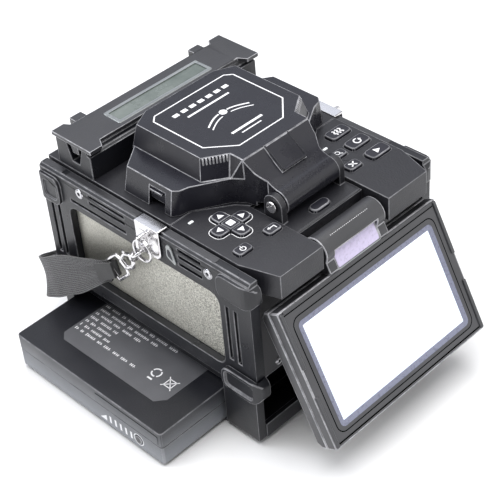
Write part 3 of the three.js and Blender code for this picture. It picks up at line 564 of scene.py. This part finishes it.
# ---------------------------------------------------------------- printed marks
def cover_marks():
    """A plain frame, bars, and a symbol of two fibres that meet in a spark."""
    def draw(bm):
        lay = on_top(COVER_TOP)
        inset = [(29.3, -14.5), (29.3, 22.5), (25.5, 26), (-25.5, 26), (-29.3, 22.5), (-29.3, -14.5),
                 (-16, -27.4), (16, -27.4)]
        stroke(bm, inset, 0.75, lay, closed=True)
        for x in (-18, -12, -6, 0, 6, 12, 18):
            stroke(bm, [(x - 1.9, 17.5), (x + 1.9, 17.5)], 2.6, lay)
        stroke(bm, [(-15, 11.5), (15, 11.5)], 1.3, lay)
        for x, way in ((-15, 1), (15, -1)):
            curve = [(x + way * t, -4 + 5 * math.sin(t / 13 * math.pi / 2)) for t in range(0, 14, 2)]
            stroke(bm, curve, 1.0, lay)
            stroke(bm, [(px, py - 3.2) for px, py in curve], 0.7, lay)
        patch(bm, arc((0, 0.6), 2.3, 0, 345, 23), lay)
        stroke(bm, [(-11, -17), (11, -17)], 1.6, lay)
        stroke(bm, [(-7, -20.5), (7, -20.5)], 0.8, lay)

    built("cover_marks", draw, "ink", "cover")


def cover_ribs():
    """The finger ribs on the two front corners of the cover, coloured pale grey as a painted highlight."""
    def draw(bm):
        for side in (-1, 1):
            start, end = Vector((36.4, -20.2)), Vector((24.6, -28.2))
            for i in range(8):
                t = (i + 0.5) / 8
                x, y = start.lerp(end, t)
                lay = plane((side * x, y, COVER_TOP), (side * 0.56, -0.83, 0), (0, 0, 1))
                profile = [(-2.5, -0.3), (0.3, -0.3), (1.15, -1.2), (1.5, -6.5), (-0.3, -6.5)]
                slab(bm, profile if side > 0 else list(reversed(profile)), -0.45, 0.45, lay)

    built("cover_ribs", draw, "rib", "cover", bevel=0.15, segments=1)


ARROW_KEYS = {"key_right": 0, "key_up": 1, "key_left": 2, "key_down": 3}
CROSS = (-41.8, -44.2)


def mark_key(key, draw):
    built(f"{key}_mark", draw, "ink", key)


def arrow_marks():
    """An arrow on each key of the cross, and a square on the key in its middle."""
    lay = on_top(KEY_TOP)
    for key, quarter in ARROW_KEYS.items():
        turn = Matrix.Rotation(quarter * math.pi / 2, 2)

        def arrow(bm, turn=turn):
            tip = [Vector((9.9, 0)), Vector((6.6, 2.1)), Vector((6.6, -2.1))]
            patch(bm, [tuple(Vector(CROSS) + turn @ p) for p in tip], lay)

        mark_key(key, arrow)

    def centre(bm):
        patch(bm, rounded_rect(CROSS[0] - 2, CROSS[0] + 2, CROSS[1] - 2, CROSS[1] + 2, 0.6), lay)

    mark_key("key_centre", centre)


def key_symbols():
    """Plain symbols in place of the captions on the other keys."""
    lay = on_top(KEY_TOP)

    def waves(bm):
        for x in (49.2, 51.4, 53.6):
            stroke(bm, [(x + 0.6 * math.sin(t * 1.3), -34.8 + t * 0.55) for t in range(9)], 0.8, lay)

    def turning_arrow(bm):
        stroke(bm, arc((51.5, -46.4), 2, 60, 360, 12), 0.8, lay)
        patch(bm, [(52.4, -46.4), (54.6, -46.4), (53.5, -44.8)], lay)

    def play(bm):
        patch(bm, [(50.2, -62.2), (54, -60.1), (50.2, -58)], lay)

    def power(bm):
        stroke(bm, arc((-52.4, -63.4), 1.5, 120, 420, 12), 0.5, lay)
        stroke(bm, [(-52.4, -63.2), (-52.4, -61.2)], 0.5, lay)

    def back(bm):
        stroke(bm, [(-29.6, -64.6), (-29.6, -62.4), (-33, -62.4)], 0.5, lay)
        patch(bm, [(-34.2, -62.4), (-32.6, -63.4), (-32.6, -61.4)], lay)

    def cross(bm):
        for way in (-1, 1):
            stroke(bm, [(34.1 - 1.9, -58.6 - 1.6 * way), (34.1 + 1.9, -58.6 + 1.6 * way)], 0.8, lay)

    def zoom(bm):
        stroke(bm, arc((36.2, -46), 1.3, 0, 340, 14), 0.45, lay, closed=True)
        stroke(bm, [(37.2, -47), (38.4, -48.2)], 0.5, lay)

    symbols = {"key_heat": waves, "key_reset": turning_arrow, "key_set": play, "key_power": power,
               "key_back": back, "key_cross": cross, "key_zoom": zoom}
    for key, draw in symbols.items():
        mark_key(key, draw)


def deck_marks():
    """The printed rim round the arrow cross, and the small lamp windows."""
    def draw(bm):
        lay = on_top(DECK_Z)
        for quarter in range(4):
            turn = Matrix.Rotation(quarter * math.pi / 2, 2)
            end = arc((9.1, -1.2), 3.7, -90, 0, 5) + arc((9.1, 1.2), 3.7, 0, 90, 5)
            rim = [(5.4, -4.9), *end, (5.4, 4.9)]
            stroke(bm, [tuple(Vector(CROSS) + turn @ Vector(p)) for p in rim], 0.35, lay)

    built("deck_marks", draw, "ink", "body")

    def lamps(bm):
        lay = on_top(DECK_Z)
        slab(bm, rounded_rect(-55, -51.8, -28, -26.4, 0.5), -0.1, 0.35, lay, 0.2)
        slab(bm, rounded_rect(34.8, 38, -37.8, -36.2, 0.5), -0.1, 0.35, lay, 0.2)

    built("lamp_windows", lamps, "led", "body")


TICK_PITCH = 1.25
ROW_PITCH = 3.83
# Lengths of the runs of ticks in each row of the battery label.
LABEL_ROWS = ((4, 7, 3, 10, 5, 4, 9, 7), (8, 12, 4, 12, 5), (3, 9, 6, 8, 5), (7, 9, 4), (3, 4, 12),
              (2, 4, 9, 5), (3, 3, 8, 4, 6, 5, 6, 4))


def battery_label():
    """A grey film with rows of short marks where the printing is, and two plain symbols."""
    def film(bm):
        outline = [(-91, -36), (-33, -36), (-33, 47.5), (-92.5, 47.5), (-96.5, 43), (-96.5, -31)]
        slab(bm, outline, 0.0, 0.12, on_top(BATTERY_TOP), 0.05)

    built("battery_label", film, "label", "battery")

    def rows(bm):
        lay = on_top(BATTERY_TOP + 0.13)
        for i, row in enumerate(LABEL_ROWS):
            x = -62.5 - i * ROW_PITCH
            y = 45.4
            for part, length in enumerate(row):
                for step in range(int(length / TICK_PITCH)):
                    y0 = y - step * TICK_PITCH
                    tall = 0.75 + 0.5 * abs(noise.noise((i * 3.1, part * 2.3, step * 1.7)))
                    stroke(bm, [(x - tall, y0), (x + tall, y0)], 0.62, lay)
                    if (step + part) % 2:
                        stroke(bm, [(x - 0.2, y0), (x - 0.2, y0 - 0.9)], 0.45, lay)
                y -= length + 1.6
        for start in (100, 220, 340):
            stroke(bm, arc((-80.7, -16.6), 2.9, start, start + 100, 6), 0.9, lay)
        stroke(bm, [(-86, -18.4), (-86, -14.8)], 1.1, lay)
        stroke(bm, rounded_rect(-84.4, -79.2, -31, -25.8, 0.5), 0.6, lay, closed=True)
        stroke(bm, [(-85.6, -32.2), (-78, -24.6)], 0.6, lay)
        stroke(bm, [(-85.6, -24.6), (-78, -32.2)], 0.6, lay)

    built("battery_label_rows", rows, "ink", "battery")


def battery_end():
    """The charge marks on the battery's outer end, and a raised panel above them towards the front."""
    def charge(bm):
        lay = ON_BATTERY_END
        stroke(bm, arc((33, 8.4), 3.7, 0, 350, 27), 0.5, lay, closed=True)
        patch(bm, [(1.5, 5.2), (7, 5.2), (7, 9.4)], lay)
        for i in range(5):
            stroke(bm, [(10.2 + i * 4.2, 5.4), (10.2 + i * 4.2, 10.4)], 1.5, lay)

    built("charge_marks", charge, "ink", "battery")

    def panel(bm):
        slab(bm, rounded_rect(-0.6, 49.5, 15.2, 21.8, 1), -0.2, 0.35, ON_BATTERY_END, 0.2)

    built("charge_panel", panel, "battery", "battery")


def hood_lip():
    """The thumb lip along the foot of the cover's tongue, and the ribs down its two sides."""
    def draw(bm):
        tube(bm, [(-8.2, -50.2, 134.2), (8.2, -50.2, 134.2)], 0.75)
        for side in (-1, 1):
            line = [(side * 8.3, -37.6, 143.1), (side * 8.3, -44, 138.6), (side * 8.3, -50.2, 134.4)]
            tube(bm, line, 0.45)

    built("hood_lip", draw, "cover", "cover")


def fibre_flaps():
    """The soft flap that closes the upper part of each fibre notch, with its grip above."""
    def draw(bm):
        for side in (-1, 1):
            lay = plane((side * 54.2, 0, 0), (0, side, 0), (0, 0, 1))
            ys = sorted((side * -11.6, side * -0.4))
            slab(bm, rounded_rect(ys[0], ys[1], 120.6, 128.1, 0.4), -0.6, 0.6, lay, 0.2)
            grip = plane((side * 55.6, 0, 0), (0, side, 0), (0, 0, 1))
            slab(bm, rounded_rect(ys[0] + 1, ys[1] - 1, 126.2, 127.4, 0.3), -1.2, 0.9, grip, 0.2)

    built("fibre_flaps", draw, "cover", "cover", bevel=0.15, segments=1)


def rail_plates():
    """Satin strips let into the top of each rail, and the thin step on the middle deck."""
    def draw(bm):
        for side in (-1, 1):
            xs = sorted((side * 63.0, side * 66.6))
            for y0, y1 in ((-58, -21.5), (-0.8, 56), (59.5, 75.5)):
                slab(bm, rounded_rect(xs[0], xs[1], y0, y1, 0.6), -0.1, 0.45, on_top(RAIL_TOP), 0.25)

    built("rail_plates", draw, "satin", "body")

    def step(bm):
        slab(bm, rounded_rect(-23.8, 23.8, -73.1, -71.6, 0.5), -0.1, 0.6, on_top(SILL_TOP), 0.3)

    built("deck_step", step, "satin", "body")


def display_trim():
    """The raised side rails of the bezel, the thin groove round the screen and two straight lines across the
    bezel, drawn as near-black lines of painted shade, and the bevel inside it.
    """
    lay = on_display(BEZEL_FACE)

    def rails(bm):
        for x0, x1 in ((-59.7, -57.4), (57.4, 59.7)):
            for z0, z1 in ((-46, -14.6), (-92.2, -62)):
                slab(bm, rounded_rect(x0, x1, z0, z1, 0.8), -0.1, 0.9, lay, 0.35)
        slab(bm, rounded_rect(-57, 57, -15.6, -14.0, 0.5), -0.1, 0.5, lay, 0.2)

    built("bezel_rails", rails, "graphite", "display")

    # Near-black strokes: painted shade in the groove round the screen and along two lines across the bezel.
    def groove(bm):
        stroke(bm, rounded_rect(-54.2, 54.2, -87.4, -20.6, 5), 0.6, lay, closed=True)
        stroke(bm, [(-57, -16.6), (57, -16.6)], 0.6, lay)
        stroke(bm, [(-57, -90.8), (57, -90.8)], 0.9, lay)

    built("bezel_groove", groove, "groove_shade", "display")

    def bevel(bm):
        levels = [(rounded_rect(-51.4, 51.4, -85.1, -23.5, 3), 0.12),
                  (rounded_rect(-50.3, 50.3, -84, -24.6, 1.8), 0.05),
                  (rounded_rect(-48.4, 48.4, -82.1, -26.5, 0.4), -0.55)]
        join_rings(bm, [corners(bm, ring, z, lay) for ring, z in levels])

    built("screen_bevel", bevel, "bevel", "display")


def neck_print():
    """A row of plain ticks along the neck's barrel."""
    angle = math.radians(128)
    sine, cosine = math.sin(angle), math.cos(angle)
    lay = DISPLAY @ plane((0, -8 * sine, -8 * cosine), (1, 0, 0), (0, cosine, -sine))

    def draw(bm):
        for i in range(22):
            x = -14 + i * 1.3
            stroke(bm, [(x, -0.4), (x, 0.5)], 0.6, lay)

    built("neck_ticks", draw, "ink", "display")


def neck_label():
    """The blank lilac film on the neck, and the bright line round it."""
    lay = on_display(NECK_FACE)

    def draw(bm):
        slab(bm, rounded_rect(-15.4, 15.4, -12.8, -3.2, 0.8), 0.0, 0.15, lay, 0.05)

    def rim(bm):
        stroke(bm, rounded_rect(-16.2, 16.2, -13.5, -2.6, 1.0), 0.5, lay, closed=True, height=0.12)

    built("neck_label", draw, "sticker", "display")
    built("neck_label_rim", rim, "silver", "display")


# ---------------------------------------------------------------- fastenings
def socket_screw(bm, centre, radius, lay):
    """A cap screw sunk in its counterbore: a ring, a domed head and a hexagon socket."""
    cx, cy = centre
    head = [(radius + 0.55, 0.0), (radius + 0.35, 0.28), (radius + 0.05, 0.2), (radius, -0.15),
            (radius * 0.93, 0.32), (radius * 0.75, 0.5)]
    socket = [(radius * 0.52, 0.5), (radius * 0.5, -0.6)]
    angles = [k * math.pi / 9 for k in range(18)]
    rings = []
    for r, z in head:
        outline = [(cx + r * math.cos(a), cy + r * math.sin(a)) for a in angles]
        rings.append(corners(bm, outline, z, lay))
    for r, z in socket:
        outline = [hexagon_point(cx, cy, r, a) for a in angles]
        rings.append(corners(bm, outline, z, lay))
    join_rings(bm, rings)
    bm.faces.new(rings[-1])


def hexagon_point(cx, cy, r, angle):
    """The point on a hexagon's edge in that direction from its centre."""
    third = math.pi / 3
    reach = r * math.cos(third / 2) / math.cos(angle % third - third / 2)
    return cx + reach * math.cos(angle), cy + reach * math.sin(angle)


def screws():
    """Cap screws in the two side rails, the front panel and the back panel."""
    def draw(bm):
        for y, z in ((43.9, 109), (-53.9, 106.7)):
            socket_screw(bm, (-y, z), 2.5, ON_LEFT_FACE)
            socket_screw(bm, (y, z), 2.5, ON_RIGHT_FACE)
        for x in (-41.6, 41.6):
            socket_screw(bm, (x, 39.5), 1.9, ON_FRONT_PANEL)
        for x in (-56, 56):
            for z in (52, 106):
                socket_screw(bm, (x, z), 1.9, ON_BACK_PANEL)

    built("cap_screws", draw, "screw", "body")


# ---------------------------------------------------------------- heater
def window_trim():
    """The raised silver frame round the heater lid's window."""
    def draw(bm):
        lay = on_top(LID_TOP)
        outer = rounded_rect(-34.6, 34.6, 44.6, 58.7, 1)
        inner = rounded_rect(-32.4, 32.4, 46.8, 56.5, 0.6)
        levels = [(outer, 0.0), (shrink(outer, 0.3), 0.35), (inner, 0.3), (inner, -0.5)]
        join_rings(bm, [corners(bm, ring, z, lay) for ring, z in levels])

    built("window_trim", draw, "silver", "heater_lid")
    dress("heater_window", "window")


# ---------------------------------------------------------------- carrying strap
RING_CENTRE = Vector((-73.6, -11, 102.3))
RING_RADIUS = 6.3
STRAP_WIDTH = 25
WEBBING_THICK = 1.5
WEBBING_COLUMNS = 13
# The middle line of the webbing, as x, y, z and the width it has there.
ROUTE = [
    (-74.6, 19, 72, 10), (-75.5, 27, 69.4, 14), (-76.6, 38, 63, 19), (-77.2, 50, 56, 24),
    (-77.4, 62, 48.5, 25), (-77.2, 73, 41, 25), (-74.5, 83, 35, 25), (-66, 88.5, 29.5, 25),
    (-52, 91.5, 24, 25), (-35, 93.5, 19.5, 25), (-17, 94.8, 16.8, 25), (0, 95.2, 16, 25),
    (17, 94.8, 16.8, 25), (35, 93.5, 19.5, 25), (52, 91.5, 24, 25), (66, 88.5, 29.5, 25),
    (74.5, 83, 35, 25), (77.2, 73, 41, 25), (77.4, 62, 48.5, 25), (77.2, 50, 57, 25),
    (76.8, 38, 67, 24), (76.2, 26, 77.5, 20), (75.2, 14, 88, 15), (74, 3.5, 97, 11),
]


def route_samples(per_span=6):
    """Points on a smooth line through the route, with the webbing's width at each."""
    points = [Vector(p) for p in ROUTE]
    samples = []
    for i in range(len(points) - 1):
        a, b, c, d = (points[max(0, min(len(points) - 1, i + k))] for k in (-1, 0, 1, 2))
        for s in range(per_span):
            t = s / per_span
            samples.append(0.5 * (2 * b + (c - a) * t + (2 * a - 5 * b + 4 * c - d) * t * t
                                  + (3 * b - a - 3 * c + d) * t ** 3))
    return samples + [points[-1]]


def webbing_row(sample, along, travelled, sheet_side):
    """Points across the webbing with their places on the UV map: slightly cupped, and in pleats where it
    is gathered."""
    outward = along.cross(Vector((0, 0, 1))).normalized()
    edge = outward.cross(along)
    gather = 1 - min(1.0, sample.w / STRAP_WIDTH)
    row = []
    for c in range(WEBBING_COLUMNS):
        s = c / (WEBBING_COLUMNS - 1) * 2 - 1
        pleat = gather * 1.5 * math.sin(s * 7 + travelled * 0.03)
        cup = 0.7 * (1 - s * s) + 0.25 * noise.noise((s * 1.5, travelled * 0.04, 0))
        off = outward * (pleat + cup - 0.4 + sheet_side * WEBBING_THICK * 0.42)
        point = (sample.xyz + edge * (s * sample.w / 2) + off) * MM
        row.append((point, ((s + 1) / 2 * 0.5, travelled / 50)))
    return row


def webbing_side(bm, samples, sheet_side, places):
    """Adds one side of the webbing, and notes the place of each vertex on the UV map."""
    last = len(samples) - 1
    travelled = 0.0
    rows = []
    for i, sample in enumerate(samples):
        along = (samples[min(i + 1, last)].xyz - samples[max(i - 1, 0)].xyz).normalized()
        if i:
            travelled += (sample.xyz - samples[i - 1].xyz).length
        row = []
        for point, place in webbing_row(sample, along, travelled, sheet_side):
            vert = bm.verts.new(point)
            places[vert] = place
            row.append(vert)
        rows.append(row)
    for a, b in zip(rows, rows[1:]):
        for c in range(WEBBING_COLUMNS - 1):
            bm.faces.new((a[c], a[c + 1], b[c + 1], b[c]))


def strap():
    """The webbing, made of two sides joined along their rims. Returns the piece and its length."""
    samples = route_samples()
    bm = bmesh.new()
    uv = bm.loops.layers.uv.new("UVMap")
    places = {}
    for sheet_side in (1, -1):
        webbing_side(bm, samples, sheet_side, places)
    bmesh.ops.recalc_face_normals(bm, faces=bm.faces)
    rims = [e for e in bm.edges if len(e.link_faces) == 1]
    bmesh.ops.bridge_loops(bm, edges=rims)
    bmesh.ops.recalc_face_normals(bm, faces=bm.faces)
    for face in bm.faces:
        for loop in face.loops:
            loop[uv].uv = places[loop.vert]
    mesh = bpy.data.meshes.new("strap_shape")
    bm.to_mesh(mesh)
    bm.free()
    smooth(mesh, 60)
    length = sum((b.xyz - a.xyz).length for a, b in zip(samples, samples[1:])) * MM
    webbing = link("strap_band", mesh, "webbing", "body", ["strap_webbing"])
    return webbing, length


def tube(bm, points, radius, sides=10, closed=False):
    """Adds a round wire along points in millimetres."""
    points = [Vector(p) for p in points]
    angles = [2 * math.pi * k / sides for k in range(sides)]
    rings = []
    last = len(points) - 1
    across = None
    for i, p in enumerate(points):
        before = points[i - 1] if closed or i else p
        after = points[(i + 1) % len(points)] if closed or i < last else p
        along = (after - before).normalized()
        side = along.cross(Vector((1, 0, 0)) if across is None else across)
        if side.length < 0.01:
            side = along.cross(Vector((0, 1, 0)))
        side.normalize()
        across = side.cross(along).normalized()
        rings.append([bm.verts.new((p + (side * math.cos(a) + across * math.sin(a)) * radius) * MM)
                      for a in angles])
    join_rings(bm, rings + rings[:1] if closed else rings)
    if not closed:
        bm.faces.new(list(reversed(rings[0])))
        bm.faces.new(rings[-1])


def split_ring():
    """A ring of wire that goes round nearly twice."""
    def draw(bm):
        points = []
        for i in range(73):
            a = i / 36 * 2 * math.pi * 0.98
            points.append(RING_CENTRE + Vector((-0.75 + i / 72 * 1.5, math.sin(a) * RING_RADIUS,
                                                math.cos(a) * RING_RADIUS)))
        tube(bm, points, 0.72)

    return built("split_ring", draw, "chrome", "body", ["strap_ring"])


def hook_matrix():
    """Turns the hook's own millimetres into its place on the lower back of the ring."""
    eye = RING_CENTRE + Vector((0, 1, -1)) * RING_RADIUS * math.sqrt(0.5)
    return Matrix.Translation(eye * MM) @ Matrix.Rotation(math.radians(-45), 4, "X") @ Matrix.Scale(MM, 4)


HOOK = hook_matrix()


def swivel_hook():
    """A swivel eye on a waisted body, a thumb lever, and a wide bar for the webbing."""
    def draw(bm):
        def at(x, y, z):
            return HOOK @ Vector((x, y, z)) / MM

        angles = [2 * math.pi * k / 20 for k in range(20)]
        eye = [at(3.2 * math.cos(a), 3.2 * math.sin(a) - 0.4, 0) for a in angles]
        tube(bm, eye, 1.05, closed=True)
        for start, end, r in ((2.6, 4.6, 2.0), (4.4, 6.2, 2.7), (6.0, 7.4, 1.9)):
            tube(bm, [at(0, start, 0), at(0, end, 0)], r, 14)
        claw = [(7, 0), (9, -2.6), (12, -4.2), (16, -3.6), (19, -2.2)]
        tube(bm, [at(0, y, z) for y, z in claw], 1.5)
        tube(bm, [at(0, y, -z * 0.9) for y, z in claw], 1.25)
        tube(bm, [at(0, 12, 3.2), at(-0.6, 11.5, 5.4), at(-1, 10.6, 6.3)], 0.8)
        tube(bm, [at(0, 18, -2.4), at(0, 18.5, 2.4)], 1.9)
        bar = [(19, -2.5), (21, -6.2), (32.4, -6.2), (32.8, -5.8), (32.8, 5.8), (32.4, 6.2), (21, 6.2),
               (19, 2.5)]
        tube(bm, [at(0, y, z) for y, z in bar], 1.1, closed=True)

    return built("swivel_hook", draw, "chrome", "body", ["strap_hook"])


def strap_loops():
    """Two layers of webbing sewn over the hook's bar at the left, and two at the right bracket."""
    def draw(bm):
        for side, start in ((-1, 0), (1, len(ROUTE) - 1)):
            here = Vector(ROUTE[start][:3])
            ahead = (Vector(ROUTE[start + (1 if side < 0 else -1)][:3]) - here).normalized()
            outward = Vector((side, 0, 0))
            back = Vector((0, -1, 1)) * 5.6 if side < 0 else -ahead * 1.5
            for layer in (-1.7, 1.7):
                a = here + back + outward * layer
                b = here + ahead * 9 + outward * layer
                wide = ahead.cross(outward).normalized() * 4.8
                lay = [a + wide, a - wide, b - wide * 1.15, b + wide * 1.15]
                low = [bm.verts.new((p - outward * 0.7) * MM) for p in lay]
                high = [bm.verts.new((p + outward * 0.7) * MM) for p in lay]
                bm.faces.new(low)
                bm.faces.new(list(reversed(high)))
                join_rings(bm, [low, high])

    return built("strap_loops", draw, "webbing", "body", bevel=0.5)


def strap_assembly():
    webbing, length = strap()
    ring, hook, loops = split_ring(), swivel_hook(), strap_loops()


TAB = [(24.2, 109.6), (24.2, 103.2), (25.2, 102.2), (30.2, 99.8), (31.0, 100.6), (28.4, 109.2), (27, 110.6),
       (25.2, 110.6)]


def rail_tab():
    """A small bright three-cornered tab on the rail, beside the bracket."""
    def draw(bm):
        slab(bm, TAB, 0, 0.9, ON_LEFT_FACE, 0.3)

    def hollow(bm):
        middle = Vector((26.6, 105.2))
        inner = [tuple(middle.lerp(Vector(point), 0.55)) for point in TAB]
        patch(bm, inner, ON_LEFT_FACE, 0.95)

    built("rail_tab", draw, "silver", "body")
    built("rail_tab_hollow", hollow, "key", "body")


# ---------------------------------------------------------------- stage
CAMERA_PLACE = Vector((-408.1, -459.0, 549.1)) * MM
CAMERA_TURN = (50.771, 3.902, -45.501)  # degrees about X, Y and Z
LENS_MM = 101.08


def camera():
    """The camera as solved from the photo."""
    data = bpy.data.cameras.new("camera")
    data.lens = LENS_MM
    data.sensor_width = 36
    data.clip_start = 0.01
    obj = bpy.data.objects.new("camera", data)
    obj.location = CAMERA_PLACE
    obj.rotation_euler = [math.radians(angle) for angle in CAMERA_TURN]
    bpy.context.scene.collection.objects.link(obj)
    bpy.context.scene.camera = obj


def lamp(name, place, target, size, energy, color=(1, 1, 1)):
    data = bpy.data.lights.new(name, "AREA")
    data.shape = "RECTANGLE"
    data.size, data.size_y = size
    data.energy = energy
    data.color = color
    obj = bpy.data.objects.new(name, data)
    obj.location = place
    obj.rotation_euler = (Vector(target) - Vector(place)).to_track_quat("-Z", "Y").to_euler()
    bpy.context.scene.collection.objects.link(obj)


def studio():
    """A dim sky, and large soft lamps that the dark faces can reflect."""
    bpy.context.scene.view_settings.view_transform = "Standard"
    world = bpy.data.worlds.new("studio")
    world.use_nodes = True
    world.node_tree.nodes["Background"].inputs["Color"].default_value = (0.93, 0.94, 0.97, 1)
    world.node_tree.nodes["Background"].inputs["Strength"].default_value = 0.1
    bpy.context.scene.world = world
    lamp("back_sky", (0.75, 0.85, 1.05), (0, 0, 0.1), (0.9, 0.7), 2.2, (0.86, 0.9, 1.0))
    lamp("left_sky", (-0.72, 0.86, 1.02), (0, 0, 0.1), (0.5, 0.5), 4, (0.86, 0.9, 1.0))
    lamp("left_box", (-1.0, 0.35, 0.5), (0, 0, 0.06), (1.0, 1.2), 6)
    lamp("front_box", (0.45, -1.0, 0.6), (0, 0, 0.06), (1.6, 1.1), 8)
    lamp("ceiling", (0, 0, 1.5), (0, 0, 0), (1.6, 1.6), 36)


def white_floor():
    mesh = bpy.data.meshes.new("floor_shape")
    bm = bmesh.new()
    bmesh.ops.create_grid(bm, x_segments=8, y_segments=8, size=6)
    bm.to_mesh(mesh)
    bm.free()
    floor = bpy.data.objects.new("floor", mesh)
    n = Nodes("floor_paper")
    paper = n.mix(n.spread(n.noise(2), 0, 1), (0.86, 0.86, 0.87), (0.9, 0.9, 0.905))
    n.set(Base_Color=paper, Roughness=0.8)
    mesh.materials.append(n.material)
    bpy.context.scene.collection.objects.link(floor)


def main():
    camera()
    studio()
    white_floor()
    strap_assembly()
    dress_plain_nodes()
    finish_mouldings()
    screen()
    cover_marks()
    cover_ribs()
    arrow_marks()
    key_symbols()
    deck_marks()
    battery_label()
    battery_end()
    neck_label()
    neck_print()
    hood_lip()
    fibre_flaps()
    rail_plates()
    display_trim()
    screws()
    window_trim()
    rail_tab()


main()
